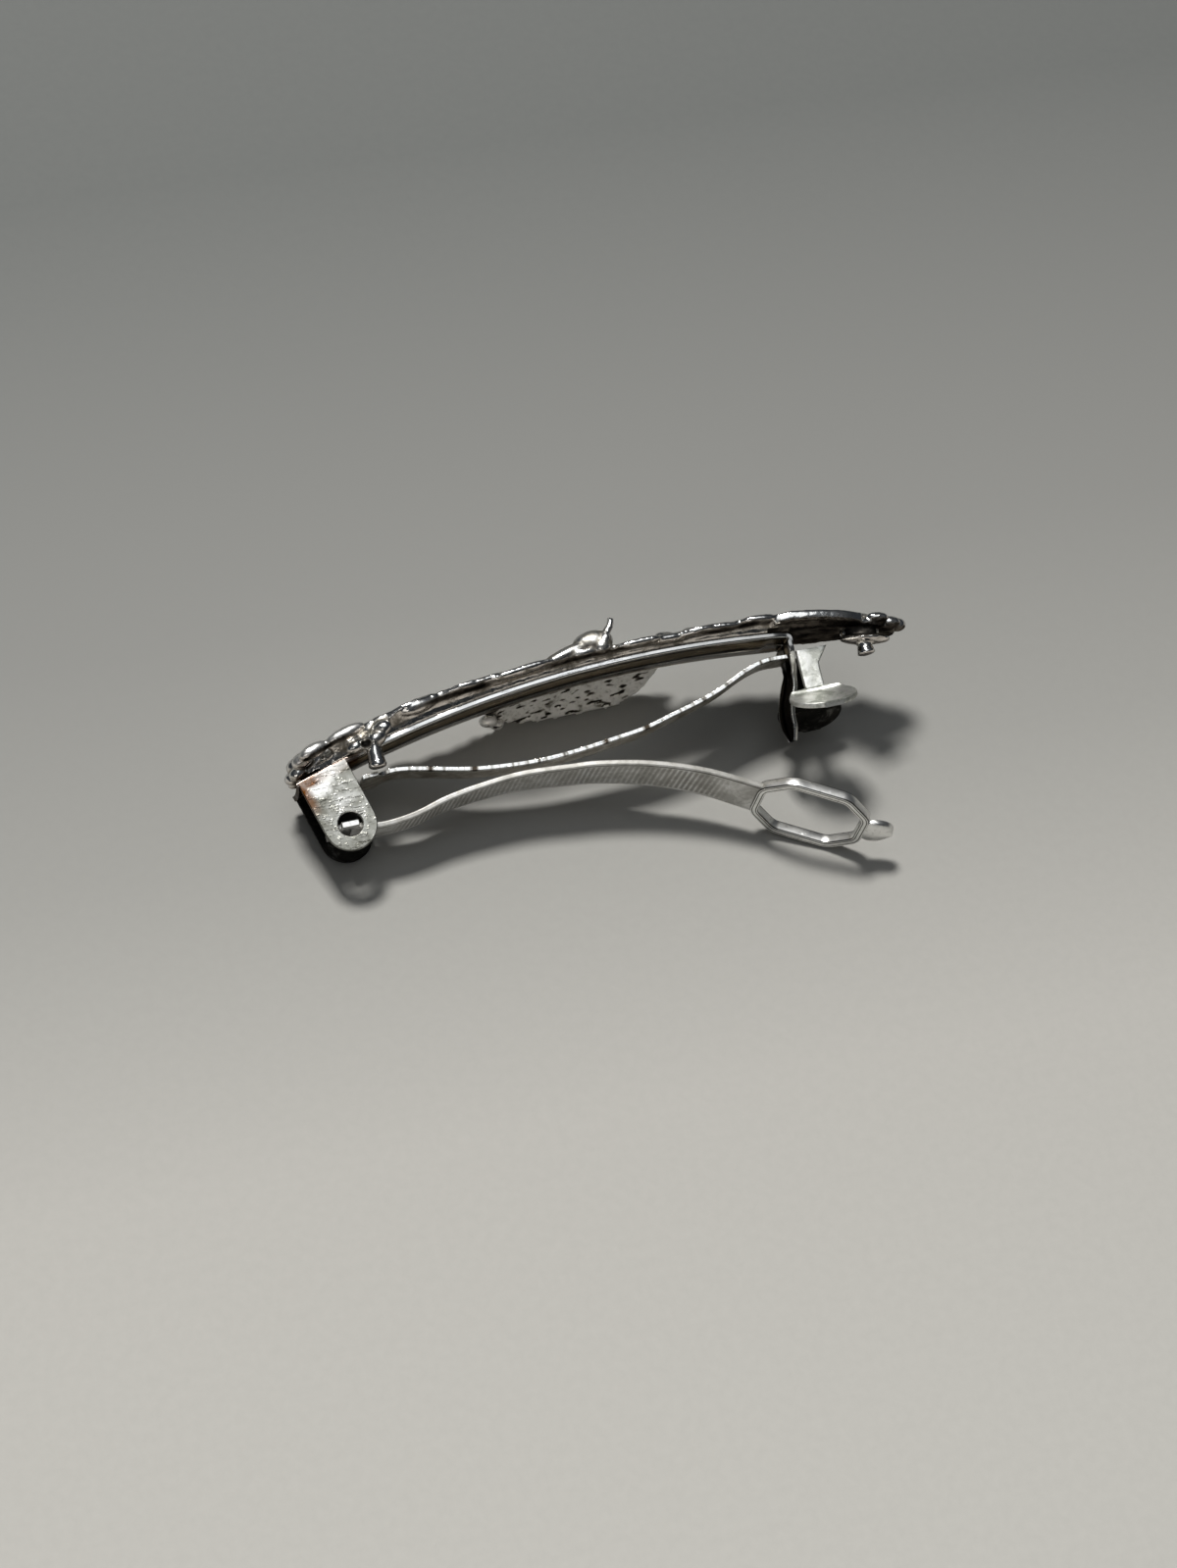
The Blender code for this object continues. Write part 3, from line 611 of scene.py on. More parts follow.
def make_leg_nickel(wear, painted_shade):
    name = "darkened far nickel" if painted_shade else "mottled leg nickel"
    nodes, _, blotch, _, scratch = start_metal(name, wear, 620.0)
    # The far pieces get a near-black copy of this nickel: painted shade, for the shade the near pieces cast
    # on them.
    if painted_shade:
        stops = [(0.0, (0.010, 0.010, 0.009)), (0.6, (0.02, 0.019, 0.017)), (1.0, (0.10, 0.098, 0.09))]
    else:
        stops = [(0.0, (0.46, 0.47, 0.43)), (0.5, (0.80, 0.81, 0.77)), (1.0, (0.96, 0.96, 0.94))]
    colour = nodes.ramp(blotch, stops)
    colour = nodes.blend(nodes.times(scratch, 0.5), colour, (0.12, 0.12, 0.10, 1))
    roughness = nodes.range(blotch, 0.0, 1.0, 0.50, 0.40)
    height = nodes.plus(nodes.times(scratch, -1.0), nodes.times(blotch, 0.6))
    return nodes.finish(colour, roughness, height, 0.4, 0.00007)


def make_antique_silver(wear):
    """Cast silver, bright where it stands out and black with tarnish in its hollows."""
    nodes, vector, blotch, speck, scratch = start_metal("antique cast silver", wear, 500.0, 0.3)
    tarnish = nodes.attribute("tarnish")
    brown = nodes.attribute("brown")
    uneven = nodes.times(nodes.minus(blotch, 0.5), 0.4)
    depth = nodes.math("ADD", tarnish, uneven, clamp=True)
    colour = nodes.ramp(depth, [
        (0.0, (0.93, 0.92, 0.90)), (0.26, (0.80, 0.79, 0.76)), (0.40, (0.36, 0.345, 0.31)),
        (0.62, (0.11, 0.10, 0.088)), (0.80, (0.03, 0.027, 0.024)), (1.0, (0.012, 0.011, 0.010)),
    ])
    colour = nodes.blend(nodes.times(brown, 0.45), colour, (0.62, 0.50, 0.42, 1), "MULTIPLY")
    colour = nodes.blend(nodes.times(speck, 0.3), colour, (0.05, 0.045, 0.04, 1))
    sheen = nodes.range(depth, 0.15, 0.5, 0.13, 0.55)
    roughness = nodes.math("MAXIMUM", sheen, nodes.times(nodes.attribute("matte"), 0.62))
    grain = nodes.noise(vector, 2600.0, 3.0, 0.6)
    height = nodes.plus(nodes.times(grain, 0.8), nodes.times(scratch, -0.6))
    return nodes.finish(colour, roughness, height, 0.35, 0.00006)


# Base stamping


def base_path():
    """The strip's middle line from the ears to the end, round the fold and down the tongue."""
    start, end = STRIP_LEFT_X, STRIP_END_X - 0.9
    xs = [start + (end - start) * i / 70 for i in range(71)]
    path = [Vector((x, 0, arch_z(x))) for x in xs]
    corner = Vector((STRIP_END_X - 0.3, 0, arch_z(STRIP_END_X - 0.3)))
    down = Vector((-math.sin(WEB_TILT), 0, -math.cos(WEB_TILT)))
    first = path[-1]
    for i in range(1, 6):
        t = i / 6
        path.append(first * (1 - t) ** 2 + corner * 2 * t * (1 - t) + (corner + down * 0.7) * t**2)
    for i in range(27):
        reach = 0.7 + (TONGUE_REACH - 0.75) * i / 26
        sway = 0.30 * math.sin((reach - 1.5) * 0.75)
        path.append(corner + down * reach + Vector((sway, 0, 0)))
    return path, corner


def base_half(point, corner):
    """Half the width of the strip, web and tongue."""
    if point.x < STRIP_END_X - 1.5 and point.z > arch_z(point.x) - 0.2:
        return STRIP_HALF
    drop = corner.z - point.z
    if drop < WEB_DROP:
        return WEB_HALF
    if drop < WEB_DROP + WEB_TAPER:
        return WEB_HALF - (WEB_HALF - TONGUE_HALF) * (drop - WEB_DROP) / WEB_TAPER
    if drop > TONGUE_POINT_DROP:
        return max(0.35, TONGUE_HALF - 0.6 * (drop - TONGUE_POINT_DROP) / 1.5)
    return TONGUE_HALF


def around_hinge(radius, angle):
    """X and Z of a point round the hinge's axis."""
    return HINGE_X + radius * math.cos(angle), HINGE_Z + radius * math.sin(angle)


def ear_plate(side):
    """One hinge ear with its round end and the lug's hole."""
    lean = arch_slope(HINGE_X)
    outline = []
    for edge in (1, -1):
        tangent_x, tangent_z = around_hinge(edge * EAR_RADIUS, lean)
        x = HINGE_X
        for _ in range(12):
            x = tangent_x - (arch_z(x) - tangent_z) * math.tan(lean)
        outline.append((x, arch_z(x) + 0.15))
    outline += [around_hinge(EAR_RADIUS, math.pi + lean + math.pi * i / 32) for i in range(33)]
    hole = [around_hinge(HOLE_RADIUS, 2 * math.pi * i / 32) for i in range(32)]
    mesh = plate_mesh("ear", [outline, hole], SHEET, 0.1)
    mesh.transform(Matrix.Translation((0, side * EAR_Y, 0)) @ Matrix.Rotation(math.pi / 2, 4, "X"))
    mark_places(mesh, lean)
    return mesh


def make_base(strip_nickel, ear_nickel, shaded_far_nickel):
    path, corner = base_path()
    halves = [base_half(point, corner) for point in path]
    crowns = [STRIP_CROWN if i < 68 else 0.0 for i in range(len(path))]
    rolls = [TONGUE_TWIST * held((corner.z - point.z - 2.5) / 2.5) for point in path]
    rolls[:60] = [0.0] * 60
    strip = band_mesh("strip", path, halves, SHEET, rolls, crowns, corner=0.15, columns=25)
    obj = place("base_strip_and_tongue", strip, strip_nickel)
    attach(obj, "base")
    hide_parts("base_plate")
    # The far ear takes the near-black nickel of painted shade.
    for name, side, nickel in (("near_hinge_ear", -1, ear_nickel), ("far_hinge_ear", 1, shaded_far_nickel)):
        ear = place(name, ear_plate(side), nickel)
        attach(ear, "base")


# Catch legs


def make_leg(name, node, body, side, material):
    """A leg that flares into a dished thumb tab."""
    bend_z = LEG_TOP_Z - LEG_HEIGHT
    points = [(LEG_Y, LEG_TOP_Z - LEG_HEIGHT * i / 10) for i in range(10)]
    for i in range(7):
        a = math.pi + TAB_FLARE * i / 6
        y = LEG_Y + TAB_BEND_RADIUS + TAB_BEND_RADIUS * math.cos(a)
        points.append((y, bend_z + TAB_BEND_RADIUS * math.sin(a)))
    bend = points[-1]
    for i in range(1, 27):
        reach = TAB_REACH * math.sin(math.pi / 2 * i / 26)
        points.append((bend[0] + math.sin(TAB_FLARE) * reach, bend[1] - math.cos(TAB_FLARE) * reach))
    middle = LEG_LEFT_X + LEG_WIDTH / 2
    path = []
    halves = []
    crowns = []
    total = TAB_REACH + TAB_LEAD
    for i, (y, z) in enumerate(points):
        reach = max(0.0, math.hypot(y - bend[0], z - bend[1]) + TAB_LEAD if i > 15 else 0.1 * (i - 9))
        share = min(1.0, reach / total)
        off = (share - 0.42) / 0.58
        half = TAB_LENGTH / 2 * math.sqrt(max(0.0, 1 - off**2))
        extra = LEG_ROOT_EXTRA * max(0.0, 1 - i / 4)
        width = max(LEG_WIDTH / 2, half) if i >= 11 else (LEG_WIDTH + extra) / 2
        halves.append(0.5 if i == len(points) - 1 else width)
        path.append(Vector((middle + extra / 2 + TAB_SHIFT * share, side * y, z)))
        crowns.append(TAB_CROWN * max(0.0, 1 - off**2) if i >= 11 else 0.0)
    across = Vector((1, 0, 0))
    frames = [(across, along.cross(across).normalized() * -side) for along in tangents(path)]
    profiles = [rail_profile(half, SHEET, 0.2, 11) for half in halves]
    mesh = sweep_mesh(name, path, frames, profiles, crowns=crowns)
    obj = place(name, mesh, material)
    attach(obj, body)
    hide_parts(node)


# Tension bow


def bow_points():
    span = BOW_RIGHT_X - BOW_LEFT_X
    height_shares = [
        (0.0, 0.32), (0.034, 0.34), (0.093, 0.37), (0.232, 0.125), (0.314, 0.036), (0.397, 0.0),
        (0.484, 0.036), (0.561, 0.107), (0.643, 0.196), (0.711, 0.34), (0.776, 0.48), (0.836, 0.65),
        (0.897, 0.88), (0.947, 1.0), (1.0, 1.0),
    ]
    points = [(BOW_LEFT_X + span * a, 0, BOW_END_Z + (b - 1) * BOW_SAG) for a, b in height_shares]
    return smooth_path(points, 8)


def make_bow(material):
    """The leaf spring in two halves, which meet at the belly that the arm presses on."""
    path = bow_points()
    halves = []
    for point in path:
        into_head = held((BOW_LEFT_X + BOW_HEAD_LENGTH - point.x) / 0.6)
        halves.append(BOW_HALF + BOW_HEAD_EXTRA * into_head)
    split = min(range(len(path)), key=lambda i: abs(path[i].x - BOW_SPLIT_X))
    parts = (
        ("bow_hinge_half", 0, split, path[0]),
        ("bow_catch_half", split, len(path) - 1, path[-1] + Vector((BOW_HOLD_PAST, 0, 0))),
    )
    for name, first, last, hold in parts:
        mesh = band_mesh(name, path[first:last + 1], halves[first:last + 1], BOW_THICKNESS, corner=0.05)
        obj = place(name, mesh, material)
        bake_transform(obj)
        if first == 0:
            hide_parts("tension_bow")


# Clasp arm


def arm_points():
    rise_shares = [
        (0.0, 0.0), (0.075, -0.4), (0.158, -0.2), (0.247, 0.47), (0.342, 0.85), (0.442, 1.0),
        (0.556, 0.7), (0.628, 0.45),
    ]
    drop_shares = [(0.747, 0.1), (0.872, 0.46), (1.0, 1.0)]
    points = [(HINGE_X - ARM_HEEL, 0, HINGE_Z)]
    points += [(HINGE_X + ARM_LENGTH * a, 0, HINGE_Z + ARM_RISE * b) for a, b in rise_shares]
    points += [(HINGE_X + ARM_LENGTH * a, 0, HINGE_Z - ARM_DROP * b) for a, b in drop_shares]
    return smooth_path(points, 7)


def loop_frame(end):
    """The loop's own axes at the band's end: along, across and up."""
    along = Vector((math.cos(LOOP_PITCH), 0, -math.sin(LOOP_PITCH)))
    across = Matrix.Rotation(-ARM_ROLL, 3, along) @ Vector((0, 1, 0))
    up = along.cross(across)
    return end - along * LOOP_RAIL / 2, along, across, up


def rounded_hexagon():
    """Corners of the loop's middle line, softened, as (along, across) pairs."""
    rail = LOOP_RAIL / 2
    start, end = rail, LOOP_LENGTH - rail
    half = LOOP_HALF - rail
    blunt = LOOP_END_HALF - rail / 2
    corners = [
        (start, -blunt), (start, blunt), (start + LOOP_SHOULDER, half), (end - LOOP_SHOULDER, half),
        (end, blunt), (end, -blunt), (end - LOOP_SHOULDER, -half), (start + LOOP_SHOULDER, -half),
    ]
    points = []
    count = len(corners)
    for i in range(count):
        before, here, after = (Vector(corners[j % count]) for j in (i - 1, i, i + 1))
        into = here + (before - here).normalized() * LOOP_CORNER
        out = here + (after - here).normalized() * LOOP_CORNER
        for step in range(7):
            t = step / 6
            points.append(into * (1 - t) ** 2 + here * 2 * t * (1 - t) + out * t**2)
        following = after + (here - after).normalized() * LOOP_CORNER
        for step in range(1, 5):
            points.append(out.lerp(following, step / 5))
    return points


def flanged_profile(half, thick):
    """A rail with a raised lip on each edge and a shallow channel between."""
    top = thick / 2
    lip = half * 0.36
    right = [
        (half * 0.8, -top), (half, -top * 0.7), (half, top * 0.75), (half * 0.86, top),
        (half - lip, top * 0.9), (half - lip * 1.35, top * 0.35),
    ]
    return right + [(-y, z) for y, z in reversed(right)]


def loop_piece(origin, along, across, up):
    path = [origin + along * x + across * y for x, y in rounded_hexagon()]
    frames = [(tangent.cross(up).normalized(), up) for tangent in tangents(path, closed=True)]
    profile = flanged_profile(LOOP_RAIL / 2, LOOP_RAIL * 1.27)
    return sweep_mesh("loop", path, frames, [profile] * len(path), closed=True)


def tip_piece(origin, along, across, up):
    """The spoon-shaped tip beyond the loop."""
    path = []
    halves = []
    crowns = []
    for share in (i / 22 for i in range(23)):
        reach = LOOP_LENGTH - TIP_OVERLAP + TIP_LENGTH * share
        path.append(origin + along * reach + up * (TIP_CURL * share**2 - 0.05))
        half = TIP_HALF * math.sqrt(max(0.03, 1 - ((share - 0.5) / 0.505) ** 2))
        halves.append(max(1.0, half) if share < 0.3 else half)
        crowns.append(TIP_CROWN * min(1.0, share * 2))
    frames = [(across, up)] * len(path)
    profiles = [rail_profile(half, SHEET, 0.2) for half in halves]
    return sweep_mesh("tip", path, frames, profiles, crowns=crowns)


def make_arm(material, loop_material):
    path = arm_points()
    ear_reach = HINGE_X + EAR_RADIUS + 0.3
    halves = []
    rolls = []
    for point in path:
        past = point.x - ear_reach
        halves.append(ARM_HEAD_HALF if past < 0 else ARM_HALF + 0.3 * max(0.0, 1 - past / 5.3))
        rolls.append(ARM_ROLL * max(0.0, past / (path[-1].x - ear_reach)))
    band = band_mesh("band", path, halves, SHEET, rolls=rolls, corner=0.14, columns=13)
    loop_axes = loop_frame(path[-1])
    lug_path = [Vector((HINGE_X, y, HINGE_Z)) for y in (-3.72, -3.6, -1.5, 1.5, 3.6, 3.72)]
    flat = [(Vector((1, 0, 0)), Vector((0, 0, 1)))] * len(lug_path)
    middle, end = rail_profile(0.95, 0.66, 0.14, 5), rail_profile(0.85, 0.5, 0.14, 5)
    lug = sweep_mesh("lug", lug_path, flat, [end] + [middle] * 4 + [end])
    obj = place("clasp_arm_band", band, material)
    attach(obj, "arm")
    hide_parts("clasp_arm")
    tip = tip_piece(*loop_axes)
    for mesh in (tip, lug):
        for corner in mesh.attributes["side"].data:
            corner.value = 0.0
    parts = [loop_piece(*loop_axes), tip, lug]
    ends = place("loop_tip_and_lug", joined("ends", parts), loop_material)
    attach(ends, "arm")


# Cast ornament


def cast_edges(x):
    """Near and far edge of the casting at X, and how far the medallion's edge reaches."""
    middle = (CAST_LEFT_X + CAST_RIGHT_X) / 2
    share = (x - middle) / ((CAST_RIGHT_X - CAST_LEFT_X) / 2)
    taper = max(0.0, 1 - share**6) ** 0.5
    lobe = 0.35 * math.cos(2 * math.pi * x / 6.5)
    near = (CAST_NEAR + lobe) * taper
    off = (x - MEDALLION_X) / MEDALLION_RADIUS
    round_share = max(0.0, 1 - off**4) ** 0.5 * (1 + 0.07 * off)
    ragged = 0.22 * noise.noise(Vector((x * 0.9, 3.1, 0))) + 0.12 * noise.noise(Vector((x * 2.3, 7.1, 0)))
    far = max((CAST_FAR + lobe) * taper, (MEDALLION_REACH - 0.2 + ragged) * round_share)
    return near, far


def cast_back_z(x, y):
    """Height of the casting's back, which drops away past the strip's far edge."""
    seat = arch_z(x) + SHEET / 2 + CAST_GAP
    past = max(0.0, y - STRIP_HALF) / (MEDALLION_REACH - STRIP_HALF)
    return seat - CAST_DROP * past**2


def on_arch(x, y, lift):
    """A point above the casting's back, and the turn that follows the arch there."""
    return Vector((x, y, cast_back_z(x, y) + lift))


def along_turn(x, swing=0.0, tilt=0.0):
    turn = Matrix.Rotation(-arch_slope(x), 4, "Y")
    return turn @ Matrix.Rotation(swing, 4, "Z") @ Matrix.Rotation(tilt, 4, "X")


def cast_form(x, y, lift, size, swing=0.0, tilt=0.0, detail=3):
    """A rounded form on the casting, turned to follow the arch."""
    return blob_mesh(on_arch(x, y, lift), size, along_turn(x, swing, tilt), detail)


def near_lift(x):
    """How far the near rim's top stands above the casting's seat."""
    return float(np.interp(x, NEAR_PLACES, NEAR_LIFTS))


def cast_sheet():
    """The casting's plain body. Its back turns up to the near rim, and its front is crowned."""
    bm = bmesh.new()
    rows = 150
    columns = 30
    grids = []
    span = CAST_RIGHT_X - CAST_LEFT_X - 0.8
    for front in (True, False):
        grid = []
        for i in range(rows + 1):
            x = CAST_LEFT_X + 0.4 + span * i / rows
            near, far = cast_edges(x)
            near -= 0.25
            far -= 0.15
            row = []
            for column in range(columns + 1):
                share = column / columns
                y = -near + (near + far) * share
                swell = math.sin(math.pi * share) ** 0.7
                upturn = (near_lift(x) - 0.35) * held((-3.75 - y) / 1.7) ** 0.8
                lift = max(upturn + 0.4, 0.5 + 0.95 * swell) if front else upturn
                row.append(bm.verts.new((x, y, cast_back_z(x, y) + lift)))
            grid.append(row)
        grids.append(grid)
        for lower, upper in zip(grid, grid[1:]):
            for i in range(columns):
                bm.faces.new((lower[i], lower[i + 1], upper[i + 1], upper[i]))
    rim, low = (
        [row[0] for row in grid] + grid[-1][1:]
        + [row[-1] for row in reversed(grid[:-1])] + grid[0][-2:0:-1]
        for grid in grids
    )
    for i in range(len(rim)):
        j = (i + 1) % len(rim)
        bm.faces.new((rim[i], rim[j], low[j], low[i]))
    bmesh.ops.recalc_face_normals(bm, faces=bm.faces)
    return finish_mesh("cast", bm)


def near_rim():
    """The rounded lip along the near edge, and the leaves that grow out of it."""
    lip = []
    radii = []
    for x in np.linspace(-30.5, 20.8, 90):
        near, _ = cast_edges(x)
        wave = 0.07 * noise.noise(Vector((x * 0.55, 2.0, 9.0)))
        lip.append(on_arch(x, -near + 0.52, near_lift(x) - 0.28 + wave))
        radii.append(0.28 + 0.06 * noise.noise(Vector((x * 0.9, 5.0, 1.0))))
    meshes = [tube_mesh("lip", lip, radii, 10)]
    leaves = [
        (-29.9, 3.2, 2.2, 2.0, 0.10), (-25.9, 5.2, 2.3, 2.0, 0.05),
        (-22.6, 2.6, 1.4, 1.0, -0.2), (-18.2, 4.4, 1.7, 1.5, 0.06), (-17.0, 2.2, 1.3, 1.1, -0.3),
        (-11.5, 6.5, 1.2, 0.8, 0.0), (-6.6, 7.4, 1.4, 0.9, 0.03),
        (6.0, 5.0, 1.3, 0.8, -0.05), (9.4, 5.6, 1.5, 0.9, 0.06), (14.8, 6.0, 1.4, 0.9, 0.02),
        (19.2, 3.8, 1.3, 0.9, 0.0),
    ]
    for x, length, width, height, swing in leaves:
        y = -cast_edges(x)[0] + 0.06 + width * 0.5
        lift = near_lift(x) - height * 0.42
        meshes.append(cast_form(x, y, lift, (length, width, height), swing, -0.2))
    return meshes


def far_rim():
    """Overlapping cast leaves along the far edge."""
    meshes = []
    x = -31.0
    i = 0
    while x < 33.0:
        _, far = cast_edges(x)
        length = 2.6 + 2.2 * chance(i, 1)
        width = 1.5 + 0.6 * chance(i, 4)
        height = 0.9 + 0.5 * chance(i, 6)
        swing = 0.25 - 0.7 * chance(i, 8)
        lift = 0.55 + (0.7 if far > 5.5 else 0.0) + 0.2 * chance(i, 10)
        meshes.append(cast_form(x, far - width * 0.55, lift, (length, width, height), swing, -0.4))
        x += length * 0.52
        i += 1
    return meshes


def front_leaves():
    """A stem with leaves in pairs over the casting's front, and petals round the medallion."""
    stem = [on_arch(x, 0.3 * math.sin(x * 0.4), 1.35) for x in range(-30, 33, 2)]
    meshes = [tube_mesh("stem", stem, [0.38] * len(stem))]
    for x in np.arange(-28.0, 32.0, 3.1):
        if abs(x - MEDALLION_X) < 8.5:
            continue
        for side in (-1, 1):
            centre = on_arch(x + 0.6, side * 2.0, 1.25)
            swing = side * (0.75 if x < MEDALLION_X else -0.75)
            meshes.append(blob_mesh(centre, (3.5, 1.5, 0.8), along_turn(x, swing, side * -0.25)))
    heart_y = 2.2
    for i in range(10):
        a = 2 * math.pi * i / 10
        x, y = 4.2 * math.cos(a), 3.2 * math.sin(a)
        swing = math.atan2(y, x)
        meshes.append(cast_form(MEDALLION_X + x, heart_y + y, 1.05, (4.6, 1.7, 0.8), swing))
    meshes.append(cast_form(MEDALLION_X, heart_y, 1.2, (3.2, 3.0, 1.4)))
    for i in range(26):
        a = 2 * math.pi * i / 26
        x, y = MEDALLION_X + 7.6 * math.cos(a), heart_y + 5.6 * math.sin(a)
        if y > -2.6:
            meshes.append(blob_mesh(on_arch(x, y, 0.95), (1.1, 1.1, 0.8), detail=2))
    return meshes


def edge_fittings():
    """The dome with its hook, the smooth leaf, the bead clusters, the lens bosses and the pegs."""
    meshes = [
        blob_mesh((1.4, -4.3, 9.4), (4.4, 2.7, 2.7)),
        blob_mesh((-1.5, -4.5, 8.75), (6.4, 2.2, 1.5), along_turn(-22.0)),
        blob_mesh((2.1, -5.05, 8.7), (1.9, 1.6, 1.8)),
    ]
    hook = smooth_path([
        (2.0, -5.2, 8.7), (2.6, -5.3, 9.4), (2.9, -5.1, 10.1), (3.5, -5.0, 10.8), (3.75, -4.9, 11.5),
    ], 6)
    radii = np.interp(np.linspace(0, 1, len(hook)), (0, 0.25, 0.5, 0.75, 1), (0.62, 0.50, 0.42, 0.37, 0.34))
    meshes.append(tube_mesh("hook", hook, [r + 0.04 * math.sin(i * 1.9) for i, r in enumerate(radii)]))
    leaf = smooth_path(SMOOTH_LEAF, 6)
    shares = [i / (len(leaf) - 1) for i in range(len(leaf))]
    leaf_halves = [1.3 * math.sin(math.pi * (0.2 + 0.72 * share)) ** 0.6 for share in shares]
    meshes.append(band_mesh("leaf", leaf, leaf_halves, 1.1, corner=0.3))
    clusters = [
        (-31.6, -1.4, 1.7, 2.7, 2.1), (-31.2, -3.4, 1.6, 2.6, 2.0), (-31.0, 0.8, 1.1, 2.2, 1.7),
        (-32.2, -0.4, 0.9, 2.1, 1.8), (-31.9, -2.6, 0.7, 2.1, 1.8), (35.2, -0.4, 0.9, 2.0, 1.8),
        (34.0, -2.2, 0.7, 2.4, 1.6), (32.4, -3.4, 0.9, 2.6, 1.4), (34.2, 1.2, 0.6, 2.2, 1.6),
        (32.6, -1.6, 1.2, 3.0, 1.2),
    ]
    for x, y, lift, length, width in clusters:
        meshes.append(cast_form(x, y, lift, (length, width, width * 0.85), detail=2))
    bosses = [
        (-25.5, -4.9, -0.1, (2.6, 1.8, 1.3), 0.2), (-23.5, -4.7, -0.25, (2.8, 2.2, 1.6), -0.1),
        (-22.6, -4.9, 0.5, (2.4, 1.6, 1.6), -0.4),
        (-29.9, -4.5, 1.75, (3.6, 1.9, 1.5), 0.1), (-26.4, -4.7, 1.75, (4.6, 1.8, 1.4), 0.0),
        (30.6, -3.0, -1.45, (5.6, 3.2, 1.0), 0.0), (30.4, -2.2, -0.5, (4.4, 2.4, 2.4), 0.0),
    ]
    for x, y, lift, size, swing in bosses:
        meshes.append(cast_form(x, y, lift, size, swing))
    for x, y, lift, drop in ((-23.8, -4.7, -0.1, 3.1), (30.4, -3.0, -1.4, 1.75)):
        top = on_arch(x, y, lift)
        peg = [top + Vector((0, 0, -drop * share)) for share in (0, 0.25, 0.5, 0.75, 0.9, 0.97, 1.0)]
        meshes.append(tube_mesh("peg", peg, [0.80, 0.80, 0.82, 0.92, 1.0, 0.92, 0.66], 16))
    meshes.append(blob_mesh((-9.7, 6.3, 5.6), (2.1, 1.8, 1.5), detail=2))
    meshes.append(blob_mesh((-8.7, 7.3, 5.2), (1.6, 1.6, 1.2), detail=2))
    return meshes


def read_values(items, name, width, kind=np.float64):
    """One property of a mesh's corners or edges, as rows of numbers."""
    values = np.empty(len(items) * width, dtype=kind)
    items.foreach_get(name, values)
    return values.reshape(-1, width)


def surface_hollow(mesh, turns=14):
    """How far each corner lies below its smoothed surroundings, in millimetres."""
    points = read_values(mesh.vertices, "co", 3)
    normals = read_values(mesh.vertices, "normal", 3)
    ends = read_values(mesh.edges, "vertices", 2, np.int64)
    degree = np.bincount(ends.ravel(), minlength=len(points))[:, None].clip(1)
    smooth = points.copy()
    for _ in range(turns):
        total = np.zeros_like(smooth)
        np.add.at(total, ends[:, 0], smooth[ends[:, 1]])
        np.add.at(total, ends[:, 1], smooth[ends[:, 0]])
        smooth = smooth * 0.4 + total / degree * 0.6
    return ((smooth - points) * normals).sum(1), points, normals


def share_of(values):
    """Values of an array, held between 0 and 1."""
    return np.clip(values, 0, 1)


def roughen_ornament(mesh):
    """Gives the remeshed casting lumps, pits and holes, and seats its back on the strip."""
    _, points, normals = surface_hollow(mesh, 1)
    moved = points.copy()
    pits = np.zeros(len(points))
    for i, (point, normal) in enumerate(zip(points, normals)):
        place_at = Vector(point)
        lump = 0.04 * noise.noise(place_at * 0.8) + 0.022 * noise.noise(place_at * 2.6)
        if point[0] < -24.5:
            lump *= 0.4
        if point[1] > 4.2 and normal[2] < 0.2:
            pit = noise.noise(Vector((point[0] * 0.9 + 5, point[1] * 2.4 + 1, point[2] * 2.4 + 8)))
            lump = lump * 0.35 - 0.5 * max(0.0, pit - 0.38)
            pits[i] = 0.65 * held((pit - 0.20) / 0.18)
            pits[i] += 0.20 * noise.noise(place_at * 1.1) + 0.22 * noise.noise(place_at * 3.4)
        for hole in BOSS_HOLES:
            lump -= 0.45 * max(0.0, 1 - (place_at - Vector(hole)).length / 0.75)
        moved[i] = point + normal * lump
        if normal[2] < -0.3 and -29.5 < point[0] < 22.6:
            strip_top = arch_z(point[0]) + SHEET / 2
            seated = held((3.95 - abs(point[1])) / 0.35)
            if point[2] - strip_top < 1.1:
                moved[i][2] += (strip_top - 0.02 - moved[i][2]) * seated
    mesh.vertices.foreach_set("co", moved.ravel())
    mesh.update()
    return pits


